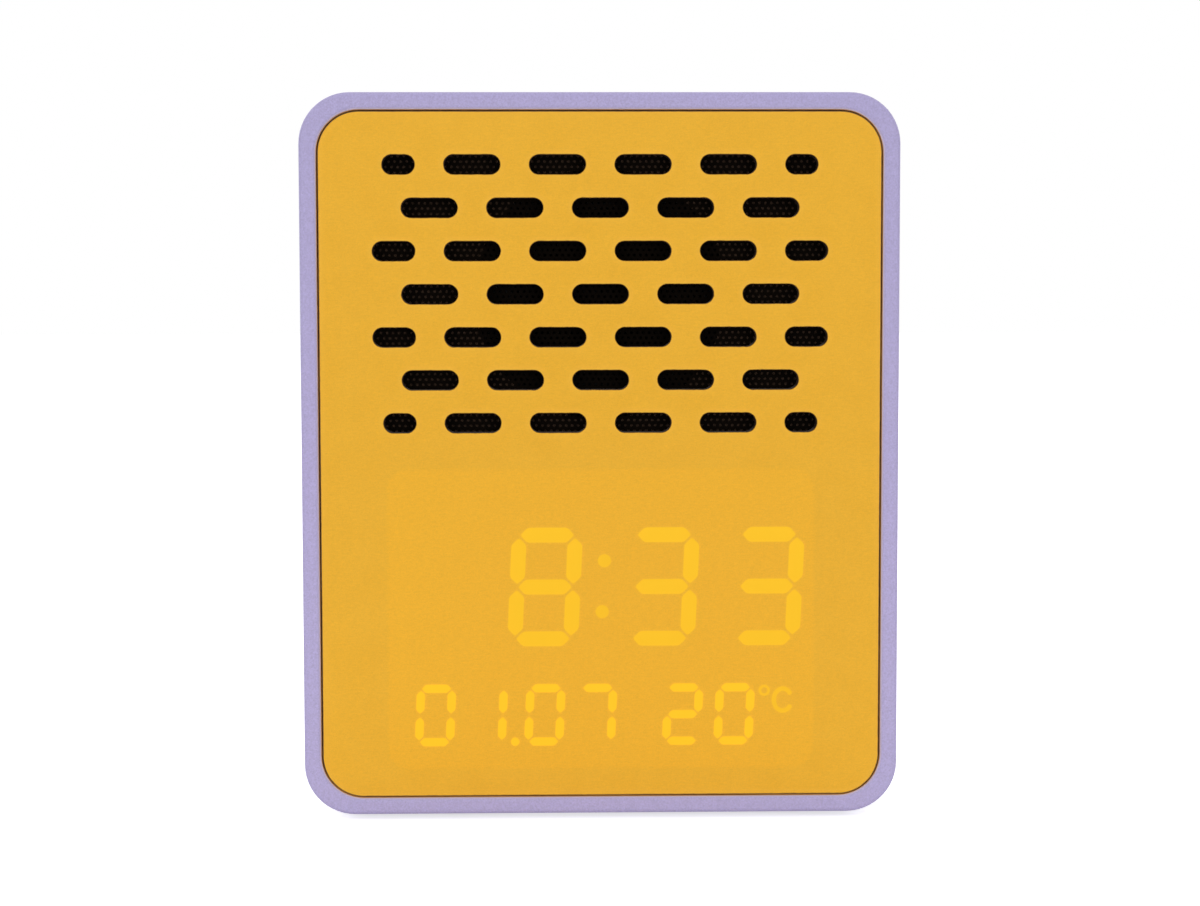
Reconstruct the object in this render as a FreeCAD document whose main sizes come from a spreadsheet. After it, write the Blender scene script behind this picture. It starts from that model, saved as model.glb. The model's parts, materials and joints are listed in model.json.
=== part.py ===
import FreeCAD, Part
import Sketcher
import math
import os

# A talking clock: an upright sleeve with a slotted front over a loudspeaker, a light display
# below it, and controls, power socket and battery bay on the back.
# Frame: +X to the right, +Z up, the front looks towards -Y, z = 0 under the feet.

os.makedirs("parts", exist_ok=True)
doc = FreeCAD.newDocument("TalkingClock")
Vector = FreeCAD.Vector

# Driving sizes, in millimetres and degrees
sizeTable = [
    ("case_width", 100.0, "sleeve, side to side"),
    ("case_depth", 50.0, "sleeve, front to back"),
    ("case_height", 121.0, "sleeve, bottom to top"),
    ("case_wall", 3.0, "sleeve wall"),
    ("case_corner_radius", 8.5, "outside corners of the sleeve"),
    ("opening_corner_radius", 7.0, "inside corners of the sleeve"),
    ("case_edge_radius", 0.8, "rounding of the front and rear rims"),
    ("boss_diameter", 10.0, "corner posts of the sleeve"),
    ("boss_inset", 4.5, "post centre to the inner faces"),
    ("pilot_diameter", 2.0, "screw holes in the posts"),
    ("pilot_depth", 10.0, "screw holes in the posts"),
    ("foot_diameter", 10.0, "foot pads"),
    ("foot_thickness", 1.5, "foot pads"),
    ("foot_recess", 0.5, "seats of the foot pads in the sleeve"),
    ("foot_clearance", 0.2, "round a foot pad in its seat"),
    ("foot_side_inset", 15.0, "foot centre to the side of the sleeve"),
    ("foot_end_inset", 13.0, "foot centre to the front and rear rims"),
    ("panel_gap", 0.2, "round the front and the back panels"),
    ("veneer_thickness", 0.4, "yellow skin"),
    ("board_thickness", 2.6, "board behind the skin"),
    ("baffle_thickness", 3.5, "plate that carries speaker and display"),
    ("slot_length", 9.35, "full grille slots"),
    ("slot_height", 3.26, "grille slots"),
    ("edge_slot_length", 7.1, "end slots of rows three and five"),
    ("corner_slot_length", 5.4, "end slots of the first and last rows"),
    ("grille_side_margin", 9.1, "inner face of the sleeve to the slots"),
    ("grille_top_margin_share", 0.07774, "sleeve to the first row, of the opening's height"),
    ("grille_gap_share", 0.06765, "last row to the display window, of the opening's height"),
    ("mesh_margin", 1.5, "mesh beyond the slots"),
    ("mesh_thickness", 0.5, "perforated mesh"),
    ("mesh_clearance", 0.5, "round the mesh in its seat"),
    ("digit_height_share", 0.17391, "large figures, of the opening's height"),
    ("digit_width_share", 0.16643, "large figures, of the window's width"),
    ("digit_stroke", 2.5, "large figures"),
    ("digit_pitch_share", 0.24825, "large figures, of the window's width"),
    ("colon_space_share", 0.02727, "extra pitch at the colon, of the window's width"),
    ("colon_dot", 2.2, "colon dots"),
    ("small_height_share", 0.09104, "small figures, of the opening's height"),
    ("small_width_share", 0.09231, "small figures, of the window's width"),
    ("small_stroke", 1.4, "small figures"),
    ("small_pitch_share", 0.12238, "small figures, of the window's width"),
    ("point_space_share", 0.01469, "extra pitch at the decimal point, of the window's width"),
    ("group_space_share", 0.08112, "extra pitch between date and temperature, of the window's width"),
    ("segment_gap", 0.35, "between neighbouring segments"),
    ("segment_depth", 1.0, "light inserts"),
    ("slant_angle", 2.6, "figures lean to the right"),
    ("display_shift", 0.5, "figures, right of the middle"),
    ("small_inset", 1.95, "small figures, right of the large ones"),
    ("degree_space", 1.55, "last figure to the degree ring"),
    ("degree_diameter", 1.9, "degree ring"),
    ("unit_pitch", 3.0, "degree ring to the letter"),
    ("unit_width", 3.3, "letter of the unit"),
    ("unit_height", 4.3, "letter of the unit"),
    ("unit_stroke", 0.8, "letter of the unit and degree ring"),
    ("unit_drop", 0.6, "letter of the unit below the top of the figures"),
    ("display_post_gap", 0.55, "display board to the posts of the sleeve"),
    ("display_bottom_margin_share", 0.03348, "small figures to the window, of the opening's height"),
    ("display_row_gap_share", 0.05591, "small figures to large figures, of the opening's height"),
    ("display_top_margin_share", 0.08522, "large figures to the window, of the opening's height"),
    ("display_corner_radius", 3.4, "display window"),
    ("display_rise_share", 0.04174, "inner face of the sleeve to the window, of the opening's height"),
    ("block_clearance", 0.3, "segment block in its window"),
    ("circuit_thickness", 1.6, "circuit boards"),
    ("display_board_lip_share", 0.0313, "display board above and below the window, of the opening's height"),
    ("display_board_side_lip", 1.2, "display board beside the window"),
    ("small_screw_diameter", 1.9, "all screws, shank"),
    ("small_screw_head", 3.4, "board screws, head"),
    ("small_screw_head_height", 1.2, "board screws, head"),
    ("screw_fit", 0.05, "round a shank in its hole"),
    ("display_screw_length", 4.0, "display board screws, shank"),
    ("speaker_hole_share", 0.36522, "round hole of the baffle, of the opening's height"),
    ("speaker_flange_width", 3.0, "basket flange beyond the hole"),
    ("gasket_thickness", 0.8, "foam ring under the flange"),
    ("gasket_setback", 0.3, "foam ring, behind the edge of the hole"),
    ("basket_sheet", 0.8, "basket sheet"),
    ("basket_shelf_depth", 6.2, "flange to the spider shelf"),
    ("basket_depth", 3.2, "spider shelf to the rear disc"),
    ("basket_rear_diameter_share", 0.66667, "inside of the rear cup, of the speaker hole"),
    ("basket_shelf_width", 2.6, "spider shelf"),
    ("ear_diameter", 6.0, "basket ears"),
    ("ear_reach", 2.0, "ear centre beyond the flange"),
    ("roll_radius", 2.0, "half roll of the surround"),
    ("surround_thickness", 0.4, "rubber of the surround"),
    ("surround_lip", 1.1, "glued lips of the surround"),
    ("surround_clearance", 0.2, "surround inside the gasket"),
    ("cone_sheet", 0.4, "paper of the cone"),
    ("cone_depth", 5.6, "cone rim to its neck"),
    ("neck_length", 1.2, "neck of the cone"),
    ("neck_diameter_share", 0.31429, "inside of the neck, of the speaker hole"),
    ("cap_diameter_share", 0.3619, "dust cap, of the speaker hole"),
    ("cap_rise", 2.2, "dust cap"),
    ("coil_wall", 0.3, "coil former and winding"),
    ("coil_fit", 0.1, "former in the neck, spider round the neck"),
    ("coil_length", 8.2, "coil former"),
    ("winding_length", 2.8, "copper winding"),
    ("pole_gap", 0.5, "coil former round the pole"),
    ("magnet_gap", 0.45, "top plate round the winding"),
    ("top_plate_diameter_share", 0.71429, "top plate and yoke, of the speaker hole"),
    ("top_plate_thickness", 2.0, "top plate and yoke"),
    ("magnet_diameter_share", 0.7619, "ring magnet, of the speaker hole"),
    ("magnet_bore_share", 0.42857, "ring magnet, of the speaker hole"),
    ("magnet_thickness", 5.0, "ring magnet"),
    ("terminal_width", 9.0, "terminal strip"),
    ("terminal_tag", 4.0, "terminal tags"),
    ("speaker_head", 4.0, "speaker screws, head"),
    ("speaker_head_height", 1.4, "speaker screws, head"),
    ("speaker_screw_length", 3.9, "speaker screws, shank"),
    ("cover_recess", 1.5, "back cover behind the rear rim"),
    ("cover_thickness", 2.5, "back cover"),
    ("cover_screw_head", 4.4, "cover and baffle screws, head"),
    ("cover_head_height", 1.5, "cover screws, head"),
    ("cover_screw_length", 9.0, "cover and baffle screws, shank"),
    ("post_diameter", 5.0, "cover posts of the main board"),
    ("post_length", 5.4, "cover posts of the main board"),
    ("post_inset", 3.0, "post centre to the board's edges"),
    ("post_screw_length", 5.0, "main board screws, shank"),
    ("main_board_width_share", 0.82979, "main board, of the opening's width"),
    ("main_board_height_share", 0.38261, "main board, of the opening's height"),
    ("main_board_drop_share", 0.10435, "inner face of the sleeve to the board, of the opening's height"),
    ("button_diameter", 7.0, "button caps"),
    ("button_clearance", 0.25, "round a cap in its hole"),
    ("button_flange", 9.2, "collar of a cap"),
    ("button_flange_thickness", 1.0, "collar of a cap"),
    ("button_proud", 1.0, "cap beyond the cover"),
    ("button_pitch_share", 0.17949, "buttons, of the main board's width"),
    ("button_drop_share", 0.22727, "board's top edge to the buttons, of the main board's height"),
    ("button_seat", 0.1, "collar to the cover"),
    ("switch_width", 6.0, "switch bodies"),
    ("switch_height", 3.5, "switch bodies"),
    ("plunger_diameter", 3.5, "switch plungers"),
    ("plunger_clearance", 0.1, "round a plunger in its bore"),
    ("plunger_sunk", 2.2, "plunger inside its bore"),
    ("plunger_room", 0.7, "bore below the plunger"),
    ("control_drop_share", 0.70455, "board's top edge to the sockets, of the main board's height"),
    ("socket_offset_share", 0.33333, "power socket, left of the middle, of the main board's width"),
    ("socket_width", 9.0, "power socket"),
    ("socket_height", 3.2, "power socket"),
    ("socket_sunk", 0.5, "socket face below the cover"),
    ("socket_wall", 0.35, "shell of the socket"),
    ("socket_depth", 5.2, "mouth of the socket"),
    ("tongue_width", 6.4, "tongue in the socket"),
    ("tongue_thickness", 0.7, "tongue in the socket"),
    ("socket_clearance", 0.3, "cover round the socket"),
    ("slider_offset_share", 0.30769, "voice switch, right of the middle, of the main board's width"),
    ("slider_width", 12.0, "voice switch body"),
    ("slider_height", 5.4, "voice switch body"),
    ("slider_thickness", 4.0, "voice switch body"),
    ("knob_width", 3.0, "voice switch knob"),
    ("knob_height", 3.2, "voice switch knob"),
    ("knob_proud", 0.8, "voice switch knob beyond the cover"),
    ("knob_travel", 2.0, "voice switch"),
    ("knob_clearance", 0.3, "round the knob and its stem"),
    ("knob_plate_width", 9.0, "plate of the knob"),
    ("knob_plate_height", 5.0, "plate of the knob"),
    ("knob_plate_thickness", 0.8, "plate of the knob"),
    ("knob_stem", 1.8, "stem of the knob"),
    ("knob_stem_length", 1.8, "stem of the knob"),
    ("vent_width", 1.2, "vent slots"),
    ("vent_height", 7.0, "vent slots"),
    ("vent_pitch", 3.0, "vent slots"),
    ("sensor_diameter", 2.4, "temperature sensor bead"),
    ("sensor_length", 3.2, "temperature sensor bead"),
    ("sensor_leg", 1.6, "temperature sensor legs"),
    ("sensor_leg_diameter", 0.6, "temperature sensor legs"),
    ("cell_pitch", 11.2, "three cells, one above the other"),
    ("cell_end_space", 0.5, "cells to the bay"),
    ("bay_length", 52.0, "battery bay"),
    ("bay_depth", 11.5, "battery bay behind the door"),
    ("bay_wall", 1.2, "battery bay"),
    ("bay_rib", 1.4, "ribs between the cells"),
    ("bay_rise_share", 0.08087, "inner face of the sleeve to the bay, of the opening's height"),
    ("door_thickness", 1.8, "battery door"),
    ("door_ledge", 1.2, "seat of the door"),
    ("door_gap", 0.2, "round the door"),
    ("tab_width", 8.0, "door tabs"),
    ("tab_offset", 15.0, "door tabs, from the middle"),
    ("tab_thickness", 1.2, "door tabs"),
    ("tab_reach", 2.0, "door tabs below the door"),
    ("tab_play", 0.2, "door tabs behind the cover"),
    ("latch_width", 10.0, "door latch"),
    ("latch_reach", 3.0, "door latch above the door"),
    ("latch_gap", 0.4, "round the latch"),
    ("latch_grip", 1.2, "finger hollow of the latch"),
    ("contact_width", 8.0, "battery contacts"),
    ("contact_height", 8.0, "battery contacts"),
    ("contact_sheet", 0.4, "battery contacts"),
    ("contact_bow", 2.6, "spring contacts, bow"),
    ("lug_length", 1.6, "solder lugs outside the bay"),
    ("lug_width", 2.4, "solder lugs"),
    ("lead_diameter", 1.2, "leads"),
    ("ribbon_width", 8.0, "display ribbon"),
    ("ribbon_thickness", 0.6, "display ribbon"),
    ("plug_height", 3.0, "ribbon plugs"),
    ("plug_depth", 3.6, "ribbon plugs"),
    ("clock_chip_width", 10.0, "clock chip"),
    ("clock_chip_height", 1.4, "clock chip"),
    ("voice_chip_width", 7.5, "voice chip"),
    ("voice_chip_length", 10.4, "voice chip"),
    ("voice_chip_height", 1.8, "voice chip"),
    ("crystal_length", 11.0, "crystal can"),
    ("crystal_width", 4.6, "crystal can"),
    ("crystal_height", 3.4, "crystal can"),
    ("capacitor_diameter", 5.0, "capacitors"),
    ("capacitor_length", 7.0, "capacitors"),
]

sheet = doc.addObject("Spreadsheet::Sheet", "Sizes")
for row, (alias, number, note) in enumerate(sizeTable, start=1):
    sheet.set(f"A{row}", note)
    sheet.set(f"B{row}", str(number))
    sheet.setAlias(f"B{row}", alias)
doc.recompute()


class Size:
    # A number together with the spreadsheet expression that gives it

    def __init__(self, number, text):
        self.number = float(number)
        self.text = text

    def __add__(self, other):
        other = asSize(other)
        return Size(self.number + other.number, f"({self.text} + {other.text})")

    def __sub__(self, other):
        other = asSize(other)
        return Size(self.number - other.number, f"({self.text} - {other.text})")

    def __rsub__(self, other):
        return asSize(other) - self

    def __mul__(self, other):
        other = asSize(other)
        return Size(self.number * other.number, f"({self.text} * {other.text})")

    def __truediv__(self, other):
        other = asSize(other)
        return Size(self.number / other.number, f"({self.text} / {other.text})")

    def __neg__(self):
        return self * -1

    __radd__ = __add__
    __rmul__ = __mul__


def asSize(value):
    return value if isinstance(value, Size) else Size(value, repr(float(value)))


class SheetSizes:
    # Gives each cell of the spreadsheet by its alias, as a Size

    def __getattr__(self, alias):
        return Size(sheet.get(alias), f"Sizes.{alias}")


size = SheetSizes()


def bind(target, path, value):
    target.setExpression(path, asSize(value).text)


# Sketches


def startBody(name):
    body = doc.addObject("PartDesign::Body", name)
    body.Label = name
    body.AllowCompound = True
    return body


def place(body, x=None, y=None, z=None):
    for axis, value in (("x", x), ("y", y), ("z", z)):
        if value is not None:
            bind(body, f".Placement.Base.{axis}", value)


def startSketch(body, name, role="XZ_Plane", offset=None):
    sketch = body.newObject("Sketcher::SketchObject", f"{body.Name}_{name}")
    plane = [feature for feature in body.Origin.OriginFeatures if feature.Role == role][0]
    sketch.AttachmentSupport = [(plane, "")]
    sketch.MapMode = "FlatFace"
    if offset is not None:
        bind(sketch, ".AttachmentOffset.Base.z", offset)
    return sketch


def facingSketch(body, name, y=None):
    # A sketch that looks towards the front, in the plane at y
    return startSketch(body, name, "XZ_Plane", None if y is None else -y)


def hold(sketch, curve, point, x, z):
    # Ties a point of a curve to its two sizes; a plain 0 puts it on the axis
    for kind, axis, value in (("DistanceX", -2, x), ("DistanceY", -1, z)):
        if isinstance(value, Size):
            index = sketch.addConstraint(Sketcher.Constraint(kind, -1, 1, curve, point, value.number))
            sketch.setExpression(f"Constraints[{index}]", value.text)
        else:
            sketch.addConstraint(Sketcher.Constraint("PointOnObject", curve, point, axis))


def holdRadius(sketch, curve, value):
    index = sketch.addConstraint(Sketcher.Constraint("Radius", curve, value.number))
    sketch.setExpression(f"Constraints[{index}]", value.text)


def flat(x, z):
    return Vector(asSize(x).number, asSize(z).number, 0)


def outline(sketch, corners):
    # Closed outline; a corner with a third entry starts an arc of that radius,
    # with its centre on the left of the walk, or on the right where the radius is negative
    curves = []
    for step, corner in enumerate(corners):
        start = flat(corner[0], corner[1])
        following = corners[(step + 1) % len(corners)]
        end = flat(following[0], following[1])
        if len(corner) == 2:
            curves.append((sketch.addGeometry(Part.LineSegment(start, end), False), 1, 2))
            continue
        radius = corner[2].number
        chord = end - start
        rise = math.sqrt(max(radius ** 2 - (chord.Length / 2) ** 2, 0))
        left = Vector(-chord.y, chord.x, 0).normalize()
        centre = (start + end) * 0.5 + left * math.copysign(rise, radius)
        first, last = (start, end) if radius > 0 else (end, start)
        angles = [math.atan2(point.y - centre.y, point.x - centre.x) for point in (first, last)]
        circle = Part.Circle(centre, Vector(0, 0, 1), abs(radius))
        index = sketch.addGeometry(Part.ArcOfCircle(circle, angles[0], angles[1]), False)
        curves.append((index, 1, 2) if radius > 0 else (index, 2, 1))
    for step, (curve, first, last) in enumerate(curves):
        after = curves[(step + 1) % len(curves)]
        sketch.addConstraint(Sketcher.Constraint("Coincident", curve, last, after[0], after[1]))
        hold(sketch, curve, first, corners[step][0], corners[step][1])
        if len(corners[step]) == 3:
            radius = corners[step][2]
            holdRadius(sketch, curve, radius if radius.number > 0 else -radius)


def rectangle(sketch, width, height, x=0, z=0):
    x, z = asSize(x), asSize(z)
    left, right = x - width / 2, x + width / 2
    low, high = z - height / 2, z + height / 2
    outline(sketch, [(left, low), (right, low), (right, high), (left, high)])


def roundedRectangle(sketch, width, height, radius, x=0, z=0):
    x, z = asSize(x), asSize(z)
    left, right = x - width / 2, x + width / 2
    low, high = z - height / 2, z + height / 2
    outline(sketch, [
        (left + radius, low), (right - radius, low, radius),
        (right, low + radius), (right, high - radius, radius),
        (right - radius, high), (left + radius, high, radius),
        (left, high - radius), (left, low + radius, radius),
    ])


def disc(sketch, diameter, x=0, z=0):
    curve = sketch.addGeometry(Part.Circle(flat(x, z), Vector(0, 0, 1), diameter.number / 2), False)
    hold(sketch, curve, 3, x, z)
    index = sketch.addConstraint(Sketcher.Constraint("Diameter", curve, diameter.number))
    sketch.setExpression(f"Constraints[{index}]", diameter.text)


def roundSlot(sketch, length, height, x, z):
    # A slot with half-round ends, lying along X
    x, z = asSize(x), asSize(z)
    reach = (length - height) / 2
    radius = height / 2
    quarter = math.pi / 2
    ends = []
    for centre, start in ((x - reach, quarter), (x + reach, -quarter)):
        circle = Part.Circle(flat(centre, z), Vector(0, 0, 1), radius.number)
        ends.append(sketch.addGeometry(Part.ArcOfCircle(circle, start, start + math.pi), False))
        hold(sketch, ends[-1], 3, centre, z)
    left, right = ends
    below, above = z - radius, z + radius
    low = sketch.addGeometry(Part.LineSegment(flat(x - reach, below), flat(x + reach, below)), False)
    high = sketch.addGeometry(Part.LineSegment(flat(x + reach, above), flat(x - reach, above)), False)
    sketch.addConstraint([
        Sketcher.Constraint("Tangent", left, 2, low, 1),
        Sketcher.Constraint("Tangent", low, 2, right, 1),
        Sketcher.Constraint("Tangent", right, 2, high, 1),
        Sketcher.Constraint("Tangent", high, 2, left, 1),
        Sketcher.Constraint("Equal", left, right),
    ])
    holdRadius(sketch, left, radius)


# Features


def finish(body, feature, grows):
    # Computes a feature and makes sure that it added or removed material
    base = feature.BaseFeature
    before = base.Shape.Volume if base else 0
    body.Tip = feature
    doc.recompute()
    after = feature.Shape.Volume
    if grows is not None and (after <= before if grows else after >= before):
        raise RuntimeError(f"{feature.Name} changed the volume from {before:.2f} to {after:.2f}")
    return feature


def pad(body, sketch, length, backwards=False, bothWays=False):
    # Adds material in front of the sketch, behind it, or on both sides
    feature = body.newObject("PartDesign::Pad", f"{sketch.Name}_pad")
    feature.Profile = sketch
    bind(feature, "Length", length)
    feature.Reversed = backwards
    if bothWays:
        feature.SideType = "Symmetric"
    sketch.Visibility = False
    return finish(body, feature, True)


def pocket(body, sketch, depth=None, forwards=False):
    # Cuts behind the sketch, or in front of it, through all where no depth is given
    feature = body.newObject("PartDesign::Pocket", f"{sketch.Name}_cut")
    feature.Profile = sketch
    feature.Reversed = forwards
    if depth is None:
        feature.Type = "ThroughAll"
    else:
        bind(feature, "Length", depth)
    sketch.Visibility = False
    return finish(body, feature, False)


def turn(body, sketch):
    # Turns a half section about the Y axis
    feature = body.newObject("PartDesign::Revolution", f"{sketch.Name}_turn")
    feature.Profile = sketch
    feature.ReferenceAxis = (sketch, ["V_Axis"])
    feature.Angle = 360
    sketch.Visibility = False
    return finish(body, feature, True)


def repeat(body, features, sketch, across, columns, up=None, rows=1):
    # Repeats features over an even grid; across and up are the whole lengths
    pattern = body.newObject("PartDesign::LinearPattern", f"{features[-1].Name}_grid")
    pattern.Originals = features
    pattern.Direction = (sketch, ["H_Axis"])
    bind(pattern, "Length", across)
    pattern.Occurrences = columns
    if up is not None:
        pattern.Direction2 = (sketch, ["V_Axis"])
        bind(pattern, "Length2", up)
        pattern.Occurrences2 = rows
    return finish(body, pattern, None)


def roundEdges(body, radius, chosen, kind="PartDesign::Fillet"):
    # Rounds or bevels the edges that the test picks
    base = body.Tip
    names = [f"Edge{index + 1}" for index, edge in enumerate(base.Shape.Edges) if chosen(edge)]
    if not names:
        raise RuntimeError(f"no edge to round on {body.Name}")
    feature = body.newObject(kind, f"{base.Name}_edges")
    feature.Base = (base, names)
    bind(feature, "Size" if kind.endswith("Chamfer") else "Radius", radius)
    return finish(body, feature, None)


def near(first, second):
    return abs(first - second) < 1e-4


def liesAt(edge, axis, value):
    # True where the whole edge lies in the plane axis = value
    box = edge.BoundBox
    return near(getattr(box, f"{axis}Min"), value) and near(getattr(box, f"{axis}Max"), value)


# Places that several pieces share

floorRise = size.foot_thickness - size.foot_recess
innerBottom = floorRise + size.case_wall
innerTop = floorRise + size.case_height - size.case_wall
caseMiddle = floorRise + size.case_height / 2
openingWidth = size.case_width - 2 * size.case_wall
openingHeight = size.case_height - 2 * size.case_wall
frontY = -size.case_depth / 2
rearY = size.case_depth / 2
boardFront = frontY + size.veneer_thickness
baffleFront = boardFront + size.board_thickness
baffleRear = baffleFront + size.baffle_thickness
coverRear = rearY - size.cover_recess
coverFront = coverRear - size.cover_thickness
panelWidth = openingWidth - 2 * size.panel_gap
panelHeight = openingHeight - 2 * size.panel_gap
panelRadius = size.opening_corner_radius - size.panel_gap
bossX = openingWidth / 2 - size.boss_inset
bossLow = innerBottom + size.boss_inset
bossHigh = innerTop - size.boss_inset
bossSpan = bossHigh - bossLow

# Heights that follow the opening's height, and widths that follow the display window's
grilleTopMargin = openingHeight * size.grille_top_margin_share
grilleGap = openingHeight * size.grille_gap_share
digitHeight = openingHeight * size.digit_height_share
smallHeight = openingHeight * size.small_height_share
displayBottomMargin = openingHeight * size.display_bottom_margin_share
displayRowGap = openingHeight * size.display_row_gap_share
displayTopMargin = openingHeight * size.display_top_margin_share
displayRise = openingHeight * size.display_rise_share
displayBoardLip = openingHeight * size.display_board_lip_share
displayBoardWidth = 2 * (bossX - size.display_post_gap) - size.boss_diameter
windowWidth = displayBoardWidth - 2 * size.display_board_side_lip
digitWidth = windowWidth * size.digit_width_share
digitPitch = windowWidth * size.digit_pitch_share
colonSpace = windowWidth * size.colon_space_share
smallWidth = windowWidth * size.small_width_share
smallPitch = windowWidth * size.small_pitch_share
pointSpace = windowWidth * size.point_space_share
groupSpace = windowWidth * size.group_space_share

slant = math.tan(math.radians(size.slant_angle.number))
digitsWidth = 3 * digitPitch + colonSpace + digitWidth + slant * digitHeight
windowBottom = innerBottom + displayRise
windowHeight = (displayBottomMargin + smallHeight + displayRowGap
                + digitHeight + displayTopMargin)
windowTop = windowBottom + windowHeight
windowMiddle = windowBottom + windowHeight / 2

firstRow = innerTop - grilleTopMargin
lastRow = windowTop + grilleGap
rowPitch = (firstRow - lastRow) / 6
grilleMiddle = (firstRow + lastRow) / 2
endSlotEdge = openingWidth / 2 - size.grille_side_margin - size.edge_slot_length
slotPitch = (endSlotEdge + size.slot_length / 2) / 2.5
meshWidth = 2 * (endSlotEdge + size.edge_slot_length + size.mesh_margin)
meshHeight = 6 * rowPitch + size.slot_height + 2 * size.mesh_margin
shankHole = size.small_screw_diameter + 2 * size.screw_fit
headDiameter = size.cover_screw_head

mainBoardWidth = openingWidth * size.main_board_width_share
mainBoardHeight = openingHeight * size.main_board_height_share
mainBoardDrop = openingHeight * size.main_board_drop_share
buttonPitch = mainBoardWidth * size.button_pitch_share
buttonDrop = mainBoardHeight * size.button_drop_share
controlDrop = mainBoardHeight * size.control_drop_share
socketOffset = mainBoardWidth * size.socket_offset_share
sliderOffset = mainBoardWidth * size.slider_offset_share
bayRise = openingHeight * size.bay_rise_share
mainBoardTop = innerTop - mainBoardDrop
mainBoardMiddle = mainBoardTop - mainBoardHeight / 2
mainBoardRear = coverFront - size.post_length
mainBoardFront = mainBoardRear - size.circuit_thickness
postX = mainBoardWidth / 2 - size.post_inset
postLow = mainBoardTop - mainBoardHeight + size.post_inset
postHigh = mainBoardTop - size.post_inset
buttonZ = mainBoardTop - buttonDrop
controlZ = mainBoardTop - controlDrop
capFlangeRear = coverFront - size.button_seat
capFlangeFront = capFlangeRear - size.button_flange_thickness
bayHeight = 3 * size.cell_pitch + 2 * size.cell_end_space
bayBottom = innerBottom + bayRise
bayMiddle = bayBottom + bayHeight / 2
doorSeat = coverRear - size.door_thickness
bayFloor = doorSeat - size.bay_depth
doorWidth = size.bay_length + 2 * size.door_ledge - 2 * size.door_gap
doorHeight = bayHeight + 2 * size.door_ledge - 2 * size.door_gap
doorBottom = bayBottom - size.door_ledge + size.door_gap
doorTop = doorBottom + doorHeight
speakerHole = openingHeight * size.speaker_hole_share
flangeDiameter = speakerHole + 2 * size.speaker_flange_width
earCircle = flangeDiameter + 2 * size.ear_reach
diagonal = math.sqrt(0.5)


# Case


def makeShell():
    body = startBody("shell")
    walls = facingSketch(body, "walls")
    roundedRectangle(walls, size.case_width, size.case_height, size.case_corner_radius, 0, caseMiddle)
    roundedRectangle(walls, openingWidth, openingHeight, size.opening_corner_radius, 0, caseMiddle)
    pad(body, walls, size.case_depth, bothWays=True)
    halfDepth = size.case_depth.number / 2
    roundEdges(body, size.case_edge_radius, lambda edge: (
        (liesAt(edge, "Y", halfDepth) or liesAt(edge, "Y", -halfDepth))
        and outsideOpening(edge.CenterOfMass)))
    posts = facingSketch(body, "posts", coverFront)
    disc(posts, size.boss_diameter, -bossX, bossLow)
    post = pad(body, posts, coverFront - baffleRear)
    repeat(body, [post], posts, 2 * bossX, 2, bossSpan, 2)
    for name, y, forwards in (("frontPilots", baffleRear, False), ("rearPilots", coverFront, True)):
        sketch = facingSketch(body, name, y)
        disc(sketch, size.pilot_diameter, -bossX, bossLow)
        hole = pocket(body, sketch, size.pilot_depth, forwards)
        repeat(body, [hole], sketch, 2 * bossX, 2, bossSpan, 2)
    seats = startSketch(body, "footSeats", "XY_Plane", floorRise)
    disc(seats, size.foot_diameter + 2 * size.foot_clearance, -footX, -footY)
    seat = pocket(body, seats, size.foot_recess, True)
    repeat(body, [seat], seats, 2 * footX, 2, 2 * footY, 2)
    return body


def outsideOpening(point):
    # True on the outer outline of the sleeve
    return (abs(point.x) > openingWidth.number / 2
            or abs(point.z - caseMiddle.number) > openingHeight.number / 2
            or math.hypot(abs(point.x) - outerCornerX.number,
                          abs(point.z - caseMiddle.number) - outerCornerZ.number) > outerCornerTest.number)


outerCornerShare = 0.85
outerCornerX = size.case_width / 2 - size.case_corner_radius
outerCornerZ = size.case_height / 2 - size.case_corner_radius
outerCornerTest = size.case_corner_radius * outerCornerShare
footX = size.case_width / 2 - size.foot_side_inset
footY = size.case_depth / 2 - size.foot_end_inset


def makeFeet():
    body = startBody("feet")
    sketch = startSketch(body, "pad", "XY_Plane")
    disc(sketch, size.foot_diameter, -footX, -footY)
    foot = pad(body, sketch, size.foot_thickness)
    repeat(body, [foot], sketch, 2 * footX, 2, 2 * footY, 2)
    roundEdges(body, floorRise / 3, lambda edge: liesAt(edge, "Z", 0))
    return body


def cutSlots(body, y):
    # Seven rows: full slots at the middles and the halves in turn, short slots at the ends
    fields = [
        ("fullRows", size.slot_length, 2 * slotPitch, rowPitch, 5, 2 * rowPitch, 3),
        ("middleRows", size.slot_length, 1.5 * slotPitch, 0, 4, 2 * rowPitch, 4),
        ("edgeEnds", size.edge_slot_length, endSlotEdge + size.edge_slot_length / 2,
         2 * rowPitch, 2, 2 * rowPitch, 2),
        ("cornerEnds", size.corner_slot_length, endSlotEdge + size.corner_slot_length / 2,
         0, 2, 6 * rowPitch, 2),
    ]
    for name, length, reach, rise, columns, step, rows in fields:
        sketch = facingSketch(body, name, y)
        roundSlot(sketch, length, size.slot_height, -reach, lastRow + rise)
        slot = pocket(body, sketch)
        repeat(body, [slot], sketch, 2 * reach, columns, step * (rows - 1), rows)


def makePlate(name, y, thickness):
    # A rounded panel that fills the sleeve's opening, with its front face at y
    body = startBody(name)
    sketch = facingSketch(body, "outline", y)
    roundedRectangle(sketch, panelWidth, panelHeight, panelRadius, 0, caseMiddle)
    pad(body, sketch, thickness, backwards=True)
    return body


def cutWindow(body, y):
    sketch = facingSketch(body, "window", y)
    roundedRectangle(sketch, windowWidth, windowHeight, size.display_corner_radius, 0, windowMiddle)
    pocket(body, sketch)


def makeFrontVeneer():
    body = makePlate("front_veneer", frontY, size.veneer_thickness)
    cutSlots(body, frontY)
    return body


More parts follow.
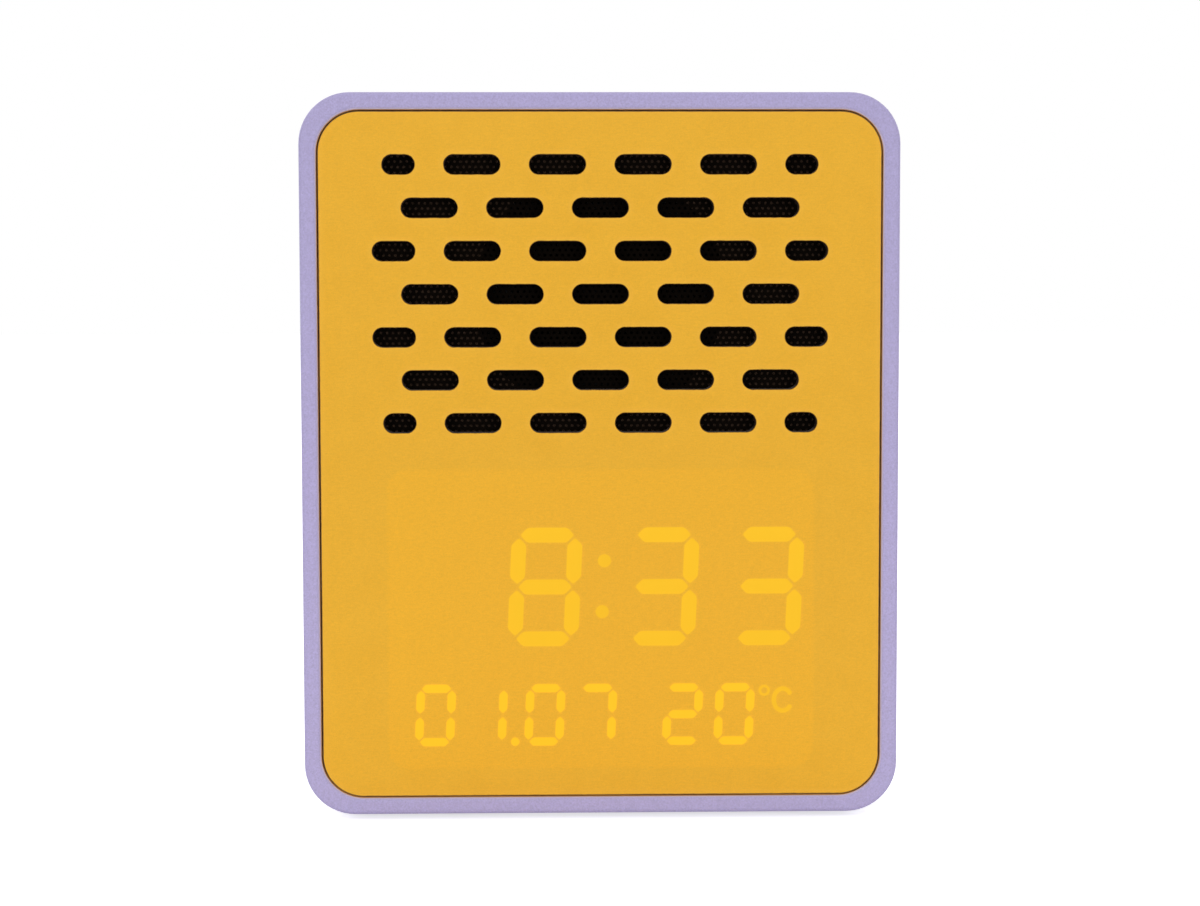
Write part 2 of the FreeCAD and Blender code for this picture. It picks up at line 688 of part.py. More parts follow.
def makeFrontBoard():
    body = makePlate("front_board", boardFront, size.board_thickness)
    cutSlots(body, boardFront)
    cutWindow(body, boardFront)
    return body


def makeSpeakerMesh():
    body = startBody("speaker_mesh")
    sketch = facingSketch(body, "sheet", baffleFront)
    rectangle(sketch, meshWidth, meshHeight, 0, grilleMiddle)
    pad(body, sketch, size.mesh_thickness, backwards=True)
    return body


def makeBaffle():
    body = makePlate("baffle", baffleFront, size.baffle_thickness)
    seat = facingSketch(body, "meshSeat", baffleFront)
    clear = 2 * size.mesh_clearance
    rectangle(seat, meshWidth + clear, meshHeight + clear, 0, grilleMiddle)
    pocket(body, seat, size.mesh_thickness)
    hole = facingSketch(body, "speakerHole", baffleFront)
    disc(hole, speakerHole, 0, grilleMiddle)
    pocket(body, hole)
    cutWindow(body, baffleFront)
    corner = facingSketch(body, "cornerHole", baffleFront)
    disc(corner, shankHole, -bossX, bossLow)
    through = pocket(body, corner)
    repeat(body, [through], corner, 2 * bossX, 2, bossSpan, 2)
    sink = facingSketch(body, "cornerSink", baffleFront)
    disc(sink, headDiameter + 2 * size.screw_fit, -bossX, bossLow)
    cone = pocket(body, sink, size.cover_head_height)
    repeat(body, [cone], sink, 2 * bossX, 2, bossSpan, 2)
    pilots = facingSketch(body, "speakerPilots", baffleRear)
    earStep = earCircle * diagonal
    disc(pilots, shankHole, -earStep / 2, grilleMiddle - earStep / 2)
    pilot = pocket(body, pilots, size.baffle_thickness - 2 * size.mesh_thickness, True)
    repeat(body, [pilot], pilots, earStep, 2, earStep, 2)
    small = facingSketch(body, "displayPilots", baffleRear)
    disc(small, shankHole, -displayScrewX, displayScrewLow)
    pilot = pocket(body, small, size.baffle_thickness - 2 * size.mesh_thickness, True)
    repeat(body, [pilot], small, 2 * displayScrewX, 2, displayScrewHigh - displayScrewLow, 2)
    return body


displayScrewX = windowWidth / 2 - displayBoardLip
displayScrewLow = windowBottom - displayBoardLip / 2
displayScrewHigh = windowTop + displayBoardLip / 2


def makeScrews(name, face, head, headHeight, shankLength, x, low, across, up, forwards):
    # Four screws whose heads begin at the given face and whose shanks run forwards or backwards
    body = startBody(name)
    way = -1 if forwards else 1
    heads = facingSketch(body, "head", face)
    disc(heads, head, x, low)
    top = pad(body, heads, headHeight, backwards=not forwards)
    shanks = facingSketch(body, "shank", face + way * headHeight)
    disc(shanks, size.small_screw_diameter, x, low)
    shank = pad(body, shanks, shankLength, backwards=not forwards)
    drive = facingSketch(body, "drive", face)
    rectangle(drive, head * driveLengthShare, head * driveWidthShare, x, low)
    slot = pocket(body, drive, headHeight / 2, forwards=forwards)
    repeat(body, [top, shank, slot], heads, across, 2, up, 2)
    return body


driveLengthShare = 0.6
driveWidthShare = 0.17


def makeBaffleScrews():
    return makeScrews("baffle_screws", baffleFront, headDiameter, size.cover_head_height,
                      size.cover_screw_length, -bossX, bossLow, 2 * bossX, bossSpan, False)


def makeBackScrews():
    return makeScrews("back_screws", coverRear, headDiameter, size.cover_head_height,
                      size.cover_screw_length, -bossX, bossLow, 2 * bossX, bossSpan, True)


# Display

figureSegments = {" ": "", "0": "abcdef", "1": "bc", "2": "abdeg", "3": "abcdg", "7": "abc", "8": "abcdefg"}
figuresLeft = size.display_shift - digitsWidth / 2
smallBottom = windowBottom + displayBottomMargin
largeBottom = smallBottom + smallHeight + displayRowGap


def barShape(start, end, stroke):
    # A bar with 45 degree points, between two points of the figure's centre lines
    along = Vector(end.x - start.x, 0, end.z - start.z).normalize()
    aside = Vector(-along.z, 0, along.x) * (stroke / 2)
    inset = along * (stroke / 2)
    return [start, start + inset - aside, end - inset - aside, end, end - inset + aside,
            start + inset + aside, start]


def figureBars(width, height, stroke, gap):
    # The seven bars of a figure, with the middle of its foot at the origin
    side = (width - stroke) / 2
    low, middle, high = stroke / 2, height / 2, height - stroke / 2
    ends = {
        "a": ((-side, high), (side, high)), "b": ((side, middle), (side, high)),
        "c": ((side, low), (side, middle)), "d": ((-side, low), (side, low)),
        "e": ((-side, low), (-side, middle)), "f": ((-side, middle), (-side, high)),
        "g": ((-side, middle), (side, middle)),
    }
    bars = {}
    for letter, (first, last) in ends.items():
        start, end = Vector(first[0], 0, first[1]), Vector(last[0], 0, last[1])
        along = (end - start).normalize() * gap
        bars[letter] = barShape(start + along, end - along, stroke)
    return bars


def unitShape(width, height, stroke):
    # The letter of the unit, an open ring with bevelled corners
    right, left = width / 2, -width / 2
    outer = width * unitBevelShare
    inner = outer / 2
    upper = [(left, height - outer), (left + outer, height), (right, height), (right, height - stroke),
             (left + stroke + inner, height - stroke), (left + stroke, height - stroke - inner)]
    lower = [(x, height - z) for x, z in reversed(upper)]
    return [Vector(x, 0, z) for x, z in [*upper, *lower, upper[0]]]


unitBevelShare = 0.35


def insertSolid(points, x, bottom):
    # Leans an outline to the right and gives it the depth of the inserts
    moved = [Vector(x + point.x + slant * point.z, boardFront.number, bottom + point.z) for point in points]
    face = Part.Face(Part.makePolygon(moved))
    return face.extrude(Vector(0, size.segment_depth.number, 0))


def dotSolid(diameter, x, z, bore=0):
    start = Vector(x, boardFront.number, z)
    back = Vector(0, 1, 0)
    depth = size.segment_depth.number
    dot = Part.makeCylinder(diameter / 2, depth, start, back)
    return dot.cut(Part.makeCylinder(bore / 2, depth, start, back)) if bore else dot


def makeSegments():
    # Sorts the light inserts of all figures into lit and dark ones
    lit, dark = [], []
    large = [digitWidth.number, digitHeight.number, size.digit_stroke.number]
    small = [smallWidth.number, smallHeight.number, size.small_stroke.number]
    gap = size.segment_gap.number
    firstLarge = figuresLeft + digitWidth / 2
    firstSmall = figuresLeft + size.small_inset + smallWidth / 2
    datePitch = smallPitch + pointSpace
    afterDate = firstSmall + 3 * smallPitch + pointSpace
    places = [
        (" ", large, firstLarge, largeBottom),
        ("8", large, firstLarge + digitPitch, largeBottom),
        ("3", large, firstLarge + 2 * digitPitch + colonSpace, largeBottom),
        ("3", large, firstLarge + 3 * digitPitch + colonSpace, largeBottom),
        ("0", small, firstSmall, smallBottom),
        ("1", small, firstSmall + smallPitch, smallBottom),
        ("0", small, firstSmall + smallPitch + datePitch, smallBottom),
        ("7", small, afterDate, smallBottom),
        ("2", small, afterDate + smallPitch + groupSpace, smallBottom),
        ("0", small, afterDate + 2 * smallPitch + groupSpace, smallBottom),
    ]
    for figure, (width, height, stroke), x, bottom in places:
        share = stroke / large[2]
        for letter, points in figureBars(width, height, stroke, gap * share).items():
            solid = insertSolid(points, x.number, bottom.number)
            (lit if letter in figureSegments[figure] else dark).append(solid)
    colonX = firstLarge + 1.5 * digitPitch + colonSpace / 2
    for heightShare in colonHeightShares:
        rise = heightShare * digitHeight
        middle = colonX + slant * rise
        lit.append(dotSolid(size.colon_dot.number, middle.number, (largeBottom + rise).number))
    point = firstSmall + smallPitch + datePitch / 2
    lit.append(dotSolid(small[2], point.number, (smallBottom + size.small_stroke / 2).number))
    lastSmall = places[-1][2] + slant * smallHeight
    degreeX = lastSmall + smallWidth / 2 + size.degree_space
    degreeZ = smallBottom + smallHeight - size.degree_diameter / 2
    bore = size.degree_diameter - size.unit_stroke
    lit.append(dotSolid(size.degree_diameter.number, degreeX.number, degreeZ.number, bore.number))
    unitBottom = smallBottom + smallHeight - size.unit_drop - size.unit_height
    letter = unitShape(size.unit_width.number, size.unit_height.number, size.unit_stroke.number)
    lit.append(insertSolid(letter, (degreeX + size.unit_pitch).number, unitBottom.number))
    return [makeFeature("lit_segments", lit), makeFeature("dark_segments", dark)]


colonHeightShares = (0.29, 0.72)


def makeFeature(name, solids):
    feature = doc.addObject("Part::Feature", name)
    feature.Label = name
    feature.Shape = Part.makeCompound(solids) if len(solids) > 1 else solids[0]
    return feature


def makeDisplayBlock(inserts):
    # The block fills the window from the skin to the display board, less the light inserts
    body = startBody("display_block_solid")
    sketch = facingSketch(body, "outline", baffleRear)
    clear = size.block_clearance
    roundedRectangle(sketch, windowWidth - 2 * clear, windowHeight - 2 * clear,
                     size.display_corner_radius - clear, 0, windowMiddle)
    pad(body, sketch, baffleRear - boardFront)
    tools = doc.addObject("Part::Compound", "segment_cavities")
    tools.Links = inserts
    block = doc.addObject("Part::Cut", "display_block")
    block.Label = "display_block"
    block.Base = body
    block.Tool = tools
    doc.recompute()
    return block


def makeDisplayBoard():
    body = startBody("display_board")
    sketch = facingSketch(body, "outline", baffleRear)
    rectangle(sketch, displayBoardWidth, windowHeight + 2 * displayBoardLip, 0, windowMiddle)
    pad(body, sketch, size.circuit_thickness, backwards=True)
    holes = facingSketch(body, "holes", baffleRear)
    disc(holes, shankHole, -displayScrewX, displayScrewLow)
    hole = pocket(body, holes)
    repeat(body, [hole], holes, 2 * displayScrewX, 2, displayScrewHigh - displayScrewLow, 2)
    return body


def makeDisplayScrews():
    face = baffleRear + size.circuit_thickness + size.small_screw_head_height
    return makeScrews("display_screws", face, size.small_screw_head, size.small_screw_head_height,
                      size.display_screw_length, -displayScrewX, displayScrewLow,
                      2 * displayScrewX, displayScrewHigh - displayScrewLow, True)


# Loudspeaker: half sections over radius and depth behind the baffle

holeRadius = speakerHole / 2
basketRearDiameter = speakerHole * size.basket_rear_diameter_share
neckDiameter = speakerHole * size.neck_diameter_share
capDiameter = speakerHole * size.cap_diameter_share
topPlateDiameter = speakerHole * size.top_plate_diameter_share
magnetDiameter = speakerHole * size.magnet_diameter_share
magnetBore = speakerHole * size.magnet_bore_share
flangeRadius = flangeDiameter / 2
flangeDepth = size.gasket_thickness
surroundOuter = holeRadius + size.gasket_setback - size.surround_clearance
basketMouth = surroundOuter - size.surround_lip / 2
shelfInner = basketRearDiameter / 2
shelfOuter = shelfInner + size.basket_shelf_width
shelfDepth = flangeDepth + size.basket_shelf_depth
rearDepth = shelfDepth + size.basket_depth
plateDepth = rearDepth + size.basket_sheet
coneRim = surroundOuter - size.surround_lip - 2 * size.roll_radius
coneInner = coneRim - size.surround_lip
neckInner = neckDiameter / 2
neckOuter = neckInner + size.cone_sheet
neckDepth = flangeDepth + size.cone_depth
formerOuter = neckInner - size.coil_fit
formerInner = formerOuter - size.coil_wall
windingOuter = formerOuter + size.coil_wall
plateBore = windingOuter + size.magnet_gap
magnetDepth = plateDepth + size.top_plate_thickness
yokeDepth = magnetDepth + size.magnet_thickness


def turnedPiece(name, corners):
    # A round piece of the loudspeaker, turned from its half section
    body = startBody(name)
    sketch = startSketch(body, "section", "XY_Plane")
    outline(sketch, corners)
    turn(body, sketch)
    place(body, 0, baffleRear, grilleMiddle)
    return body


def ring(name, inner, outer, front, thickness):
    return turnedPiece(name, [(inner, front), (outer, front), (outer, front + thickness),
                              (inner, front + thickness)])


def makeGasket():
    return ring("speaker_gasket", holeRadius + size.gasket_setback, flangeRadius, 0, size.gasket_thickness)


def makeBasket():
    thick = size.basket_sheet
    body = turnedPiece("speaker_basket", [
        (flangeRadius, flangeDepth), (flangeRadius, flangeDepth + thick),
        (basketMouth + thick, flangeDepth + thick), (shelfOuter + thick, shelfDepth + thick),
        (shelfInner + thick, shelfDepth + thick), (shelfInner + thick, plateDepth),
        (plateBore, plateDepth), (plateBore, rearDepth),
        (shelfInner, rearDepth), (shelfInner, shelfDepth),
        (shelfOuter, shelfDepth), (basketMouth, flangeDepth),
    ])
    # Four windows in the cone-shaped wall
    windows = facingSketch(body, "windows", flangeDepth + thick)
    small, large = shelfOuter + thick, basketMouth - thick
    for quarter in range(4):
        start, end = [math.radians(90 * quarter + reach) for reach in windowTurns]
        outline(windows, [
            (small * math.cos(start), small * math.sin(start)),
            (large * math.cos(start), large * math.sin(start), large),
            (large * math.cos(end), large * math.sin(end)),
            (small * math.cos(end), small * math.sin(end), -small),
        ])
    pocket(body, windows, size.basket_shelf_depth)
    ears = facingSketch(body, "ears", flangeDepth)
    step = earCircle / 2 * diagonal
    disc(ears, size.ear_diameter, -step, -step)
    ear = pad(body, ears, thick, backwards=True)
    holes = facingSketch(body, "earHoles", flangeDepth)
    disc(holes, shankHole, -step, -step)
    hole = pocket(body, holes, thick)
    repeat(body, [ear, hole], ears, 2 * step, 2, 2 * step, 2)
    return body


windowTurns = (-32, 32)


def makeSurround():
    thin = size.surround_thickness
    back, front = flangeDepth, flangeDepth - size.surround_thickness
    roll = size.roll_radius
    rollOuter = surroundOuter - size.surround_lip
    return turnedPiece("speaker_surround", [
        (surroundOuter, back), (surroundOuter, front), (rollOuter, front, -roll * rollSagShare),
        (coneRim, front), (coneInner, front), (coneInner, back), (coneRim + thin, back),
        (coneRim + thin, front, (roll - thin) * rollSagShare), (rollOuter - thin, front),
        (rollOuter - thin, back),
    ])


rollSagShare = 1.02


def makeCone():
    thin = size.cone_sheet
    return turnedPiece("speaker_cone", [
        (coneRim, flangeDepth), (coneRim, flangeDepth + thin), (coneInner, flangeDepth + thin),
        (neckOuter, neckDepth + thin / 2), (neckOuter, neckDepth + size.neck_length),
        (neckInner, neckDepth + size.neck_length), (neckInner, neckDepth), (coneInner, flangeDepth),
    ])


def makeDustCap():
    radius, rise, thin = capDiameter / 2, size.cap_rise, size.cone_sheet
    slope = size.cone_depth / (coneInner - neckInner)
    seat = neckDepth - (radius - neckInner) * slope - size.coil_fit
    dome = (radius * radius + rise * rise) / (2 * rise)
    return turnedPiece("dust_cap", [
        (radius, seat, -dome), (0, seat - rise), (0, seat - rise - thin, dome), (radius, seat - thin),
    ])


def makeVoiceCoil():
    windingFront = plateDepth + (size.top_plate_thickness - size.winding_length) / 2
    windingRear = windingFront + size.winding_length
    return turnedPiece("voice_coil", [
        (formerInner, neckDepth), (formerOuter, neckDepth), (formerOuter, windingFront),
        (windingOuter, windingFront), (windingOuter, windingRear), (formerOuter, windingRear),
        (formerOuter, neckDepth + size.coil_length), (formerInner, neckDepth + size.coil_length),
    ])


def makeSpider():
    # A flat disc with round waves, drawn as a zigzag
    inner, outer = neckOuter + size.coil_fit, shelfOuter - size.surround_clearance
    thin = size.surround_thickness
    back = shelfDepth
    span = (shelfInner - inner) / (spiderWaves + 1)
    crests = [(inner + span * (wave + 1), back - thin if wave % 2 else back) for wave in range(spiderWaves)]
    return turnedPiece("spider", [(inner, back), *crests, (outer, back), (outer, back - thin),
                                  *[(x, y - thin) for x, y in reversed(crests)], (inner, back - thin)])


spiderWaves = 7


def makeTopPlate():
    return ring("top_plate", plateBore, topPlateDiameter / 2, plateDepth, size.top_plate_thickness)


def makeMagnet():
    return ring("magnet", magnetBore / 2, magnetDiameter / 2, magnetDepth, size.magnet_thickness)


def makePoleYoke():
    pole, rim = formerInner - size.pole_gap, topPlateDiameter / 2
    back = yokeDepth + size.top_plate_thickness
    return turnedPiece("pole_yoke", [
        (0, plateDepth), (pole, plateDepth), (pole, yokeDepth), (rim, yokeDepth), (rim, back), (0, back),
    ])


tagX = size.terminal_width / 3
stripLow = flangeRadius + size.basket_sheet
stripHigh = basketMouth + size.basket_sheet + size.surround_clearance
tagZ = grilleMiddle - (stripLow + stripHigh) / 2
stripFace = baffleRear + flangeDepth + size.basket_sheet
tagEnd = stripFace + size.basket_sheet + size.terminal_tag


def makeTerminals():
    body = startBody("speaker_terminals")
    strip = facingSketch(body, "strip", stripFace)
    rectangle(strip, size.terminal_width, stripLow - stripHigh, 0, tagZ)
    pad(body, strip, size.basket_sheet, backwards=True)
    tags = facingSketch(body, "tags", stripFace + size.basket_sheet)
    rectangle(tags, size.terminal_tag / 2, size.contact_sheet, -tagX, tagZ)
    rectangle(tags, size.terminal_tag / 2, size.contact_sheet, tagX, tagZ)
    pad(body, tags, size.terminal_tag, backwards=True)
    return body


def makeSpeakerScrews():
    step = earCircle * diagonal
    return makeScrews("speaker_screws", stripFace + size.speaker_head_height, size.speaker_head,
                      size.speaker_head_height, size.speaker_screw_length,
                      -step / 2, grilleMiddle - step / 2, step, step, True)


# Back cover, battery door and contacts

rootHeight = size.door_ledge - size.door_gap
tabFace = coverFront - size.tab_play
tabInner = tabFace - size.tab_thickness
lugFront = bayFloor + size.contact_height / 2
bayEnd = size.bay_length / 2


def cellZ(row):
    return bayBottom + size.cell_end_space + size.cell_pitch * (row + 0.5)


def makeBackCover():
    body = makePlate("back_cover", coverFront, size.cover_thickness)
    tub = facingSketch(body, "tub", coverFront)
    wall = 2 * size.bay_wall
    rectangle(tub, size.bay_length + wall, bayHeight + wall, 0, bayMiddle)
    pad(body, tub, coverFront - bayFloor + size.bay_wall)
    recess = facingSketch(body, "doorRecess", coverRear)
    gap = 2 * size.door_gap
    rectangle(recess, doorWidth + gap, doorHeight + gap, 0, bayMiddle)
    pocket(body, recess, size.door_thickness, True)
    bay = facingSketch(body, "bay", doorSeat)
    rectangle(bay, size.bay_length, bayHeight, 0, bayMiddle)
    pocket(body, bay, size.bay_depth, True)
    ribs = facingSketch(body, "cellRibs", bayFloor)
    for row in range(2):
        rectangle(ribs, size.bay_length * ribShare, size.bay_rib / 2, 0, cellZ(row) + size.cell_pitch / 2)
    pad(body, ribs, size.bay_rib, backwards=True)
    latch = facingSketch(body, "latchNotch", coverRear)
    notchHeight = size.latch_reach + size.latch_gap + size.door_gap
    rectangle(latch, size.latch_width + 2 * size.latch_gap, notchHeight,
              0, doorTop + notchHeight / 2)
    pocket(body, latch, size.door_thickness, True)
    notches = facingSketch(body, "tabNotches", doorSeat)
    for side in (-1, 1):
        rectangle(notches, size.tab_width + 2 * size.latch_gap, size.bay_wall,
                  side * size.tab_offset, bayBottom - size.bay_wall / 2)
    pocket(body, notches, doorSeat - tabInner + size.tab_reach / 2, True)
    for side, row in ((1, 0), (-1, 2)):
        lugs = facingSketch(body, f"lugSlot{row}", lugFront + size.lug_width + size.door_gap)
        rectangle(lugs, size.bay_wall, size.contact_sheet + 2 * size.door_gap,
                  side * (bayEnd + size.bay_wall / 2), cellZ(row))
        pocket(body, lugs, size.lug_width + 2 * size.door_gap, True)
    posts = facingSketch(body, "posts", coverFront)
    disc(posts, size.post_diameter, -postX, postLow)
    post = pad(body, posts, size.post_length)
    pilots = facingSketch(body, "postPilots", mainBoardRear)
    disc(pilots, shankHole, -postX, postLow)
    pilot = pocket(body, pilots, size.post_screw_length)
    repeat(body, [post, pilot], posts, 2 * postX, 2, postHigh - postLow, 2)
    holes = facingSketch(body, "buttonHoles", coverFront)
    disc(holes, size.button_diameter + 2 * size.button_clearance, -2 * buttonPitch, buttonZ)
    hole = pocket(body, holes)
    repeat(body, [hole], holes, 4 * buttonPitch, 5)
    openings = facingSketch(body, "openings", coverFront)
    clear = 2 * size.socket_clearance
    roundSlot(openings, size.socket_width + clear, size.socket_height + clear, -socketOffset, controlZ)
    clear = 2 * size.knob_clearance
    rectangle(openings, size.knob_width + size.knob_travel + clear, size.knob_height + clear,
              sliderOffset + size.knob_travel / 2, controlZ)
    pocket(body, openings)
    vents = facingSketch(body, "vents", coverFront)
    roundedRectangle(vents, size.vent_width, size.vent_height, size.vent_width * ventRoundShare,
                     -2 * size.vent_pitch, controlZ)
    vent = pocket(body, vents)
    repeat(body, [vent], vents, 4 * size.vent_pitch, 5)
    corner = facingSketch(body, "cornerHole", coverFront)
    disc(corner, shankHole, -bossX, bossLow)
    through = pocket(body, corner)
    sink = facingSketch(body, "cornerSink", coverRear)
    disc(sink, headDiameter + 2 * size.screw_fit, -bossX, bossLow)
    bore = pocket(body, sink, size.cover_head_height, True)
    repeat(body, [through, bore], corner, 2 * bossX, 2, bossSpan, 2)
    return body


ribShare = 0.7
ventRoundShare = 0.48


def makeBatteryDoor():
    body = startBody("battery_door")
    panel = facingSketch(body, "panel", coverRear)
    rectangle(panel, doorWidth, doorHeight, 0, bayMiddle)
    pad(body, panel, size.door_thickness)
    latch = facingSketch(body, "latch", coverRear)
    rectangle(latch, size.latch_width, size.latch_reach, 0, doorTop + size.latch_reach / 2)
    pad(body, latch, size.door_thickness)
    grip = facingSketch(body, "grip", coverRear)
    roundSlot(grip, size.latch_width * gripShare, size.latch_reach * gripShare, 0, doorTop)
    pocket(body, grip, size.latch_grip, True)
    roots = facingSketch(body, "tabRoots", doorSeat)
    feet = facingSketch(body, "tabFeet", tabFace)
    for side in (-1, 1):
        rectangle(roots, size.tab_width, rootHeight, side * size.tab_offset, doorBottom + rootHeight / 2)
        rectangle(feet, size.tab_width, size.tab_reach + rootHeight, side * size.tab_offset,
                  doorBottom + (rootHeight - size.tab_reach) / 2)
    pad(body, roots, doorSeat - tabInner)
    pad(body, feet, size.tab_thickness)
    return body


gripShare = 0.7


def makeContacts(name, sides, lugRow, bow):
    # Three contacts, one a cell; the one in lugRow has a solder lug through the bay's wall
    body = startBody(name)
    thin = size.contact_sheet
    front = bayFloor + size.bay_rib
    for row, side in enumerate(sides):
        sketch = facingSketch(body, f"contact{row}", front)
        middle = cellZ(row)
        half = size.contact_width / 2
        edge = side * bayEnd
        if bow:
            peak = side * (bayEnd - size.contact_bow)
            under = side * (bayEnd - size.contact_bow + thin)
            foot, crest = 2 * thin, size.contact_width / 8
            outline(sketch, [
                (edge, middle - half), (peak, middle - crest), (peak, middle + crest),
                (edge, middle + half), (edge, middle + half - foot), (under, middle + crest - thin / 2),
                (under, middle - crest + thin / 2), (edge, middle - half + foot),
            ])
        else:
            rectangle(sketch, thin, size.contact_width, edge - side * thin / 2, middle)
        pad(body, sketch, size.contact_height, backwards=True)
        if row == lugRow:
            lug = facingSketch(body, "lug", lugFront)
            inset = size.contact_bow if bow else thin
            length = inset + size.bay_wall + size.lug_length
            rectangle(lug, length, thin, side * (bayEnd - inset + length / 2), middle)
            pad(body, lug, size.lug_width, backwards=True)
    return body


def makeBatterySprings():
    return makeContacts("battery_springs", (1, -1, 1), 0, True)


def makeBatteryPlates():
    return makeContacts("battery_plates", (-1, 1, -1), 2, False)


# Main board and what it carries


# Middles of the pieces on the board, as shares of its width and height from its middle
clockChipShares = (-0.1, 0.2)
voiceChipShares = (0.12, 0.2)
crystalShares = (-0.32, 0.2)
capacitorShares = (0.3, 0.25)
capacitorPitchShare = 1.4


def boardPlace(shares):
    return shares[0] * mainBoardWidth, mainBoardMiddle + shares[1] * mainBoardHeight


def makeMainBoard():
    body = startBody("main_board")
    sketch = facingSketch(body, "outline", mainBoardRear)
    rectangle(sketch, mainBoardWidth, mainBoardHeight, 0, mainBoardMiddle)
    pad(body, sketch, size.circuit_thickness)
    holes = facingSketch(body, "holes", mainBoardRear)
    disc(holes, shankHole, -postX, postLow)
    hole = pocket(body, holes, size.circuit_thickness, True)
    repeat(body, [hole], holes, 2 * postX, 2, postHigh - postLow, 2)
    return body


def makeMainBoardScrews():
    return makeScrews("main_board_screws", mainBoardFront - size.small_screw_head_height,
                      size.small_screw_head, size.small_screw_head_height, size.post_screw_length,
                      -postX, postLow, 2 * postX, postHigh - postLow, False)


def makeChip(name, width, length, height, middle):
    body = startBody(name)
    sketch = facingSketch(body, "case", mainBoardFront)
    rectangle(sketch, width, length, *middle)
    pad(body, sketch, height)
    return body


def makeClockChip():
    return makeChip("clock_chip", size.clock_chip_width, size.clock_chip_width, size.clock_chip_height,
                    boardPlace(clockChipShares))


def makeVoiceChip():
    return makeChip("voice_chip", size.voice_chip_width, size.voice_chip_length, size.voice_chip_height,
                    boardPlace(voiceChipShares))


def makeCrystal():
    body = startBody("crystal")
    sketch = facingSketch(body, "can", mainBoardFront)
    roundSlot(sketch, size.crystal_length, size.crystal_width, *boardPlace(crystalShares))
    pad(body, sketch, size.crystal_height)
    return body


def makeCapacitors():
    body = startBody("capacitors")
    sketch = facingSketch(body, "cans", mainBoardFront)
    x, z = boardPlace(capacitorShares)
    disc(sketch, size.capacitor_diameter, x, z)
    can = pad(body, sketch, size.capacitor_length)
    repeat(body, [can], sketch, capacitorPitchShare * size.capacitor_diameter, 2)
    return body


def makePowerSocket():
    body = startBody("power_socket")
    shell = facingSketch(body, "shell", mainBoardRear)
    x = -socketOffset
    face = coverRear - size.socket_sunk
    roundSlot(shell, size.socket_width, size.socket_height, x, controlZ)
    pad(body, shell, face - mainBoardRear, backwards=True)
    mouth = facingSketch(body, "mouth", face)
    wall = 2 * size.socket_wall
    roundSlot(mouth, size.socket_width - wall, size.socket_height - wall, x, controlZ)
    pocket(body, mouth, size.socket_depth, True)
    tongue = facingSketch(body, "tongue", face - size.socket_depth)
    rectangle(tongue, size.tongue_width, size.tongue_thickness, x, controlZ)
    pad(body, tongue, size.socket_depth - 2 * size.socket_wall, backwards=True)
    return body


def makeTemperatureSensor():
    body = startBody("temperature_sensor")
    bead = facingSketch(body, "bead", mainBoardRear + size.sensor_leg)
    disc(bead, size.sensor_diameter, 0, controlZ)
    pad(body, bead, size.sensor_length, backwards=True)
    legs = facingSketch(body, "legs", mainBoardRear)
    for side in (-1, 1):
        disc(legs, size.sensor_leg_diameter, side * size.sensor_diameter / 4, controlZ)
    pad(body, legs, size.sensor_leg, backwards=True)
    return body


def makeSwitchBodies():
    body = startBody("switch_bodies")
    sketch = facingSketch(body, "case", mainBoardRear)
    rectangle(sketch, size.switch_width, size.switch_width, -2 * buttonPitch, buttonZ)
    case = pad(body, sketch, size.switch_height, backwards=True)
    bores = facingSketch(body, "bore", mainBoardRear + size.switch_height)
    disc(bores, size.plunger_diameter + 2 * size.plunger_clearance, -2 * buttonPitch, buttonZ)
    bore = pocket(body, bores, size.plunger_sunk + size.plunger_room, True)
    repeat(body, [case, bore], sketch, 4 * buttonPitch, 5)
    return body


buttonNames = ("alarm", "set", "talk", "minus", "plus")


def makeButton(name, x):
    body = startBody(f"{name}_button")
    collar = facingSketch(body, "collar", capFlangeRear)
    disc(collar, size.button_flange, x, buttonZ)
    pad(body, collar, size.button_flange_thickness)
    cap = facingSketch(body, "cap", capFlangeRear)
    disc(cap, size.button_diameter, x, buttonZ)
    pad(body, cap, size.button_seat + size.cover_thickness + size.button_proud, backwards=True)
    top = (coverRear + size.button_proud).number
    roundEdges(body, size.button_proud / 2, lambda edge: liesAt(edge, "Y", top))
    return body


def makePlunger(name, x):
    body = startBody(f"{name}_plunger")
    sketch = facingSketch(body, "rod", capFlangeFront)
    disc(sketch, size.plunger_diameter, x, buttonZ)
    pad(body, sketch, capFlangeFront - mainBoardRear - size.switch_height + size.plunger_sunk)
    return body


def makeButtons():
    made = []
    for column, name in enumerate(buttonNames):
        x = (column - 2) * buttonPitch if column != 2 else 0
        made.extend([makeButton(name, x), makePlunger(name, x)])
    return made


slideX = sliderOffset + size.knob_travel / 2
plateFront = capFlangeRear - size.knob_plate_thickness
stemFront = plateFront - size.knob_stem_length
sliderFace = mainBoardRear + size.slider_thickness


def makeVoiceSwitchBody():
    body = startBody("voice_switch_body")
    sketch = facingSketch(body, "case", mainBoardRear)
    rectangle(sketch, size.slider_width, size.slider_height, slideX, controlZ)
    pad(body, sketch, size.slider_thickness, backwards=True)
    track = facingSketch(body, "track", sliderFace)
    clear = 2 * size.knob_clearance
    rectangle(track, size.knob_stem + size.knob_travel + clear, size.knob_stem + clear, slideX, controlZ)
    pocket(body, track, sliderFace - stemFront + size.knob_clearance, True)
    return body


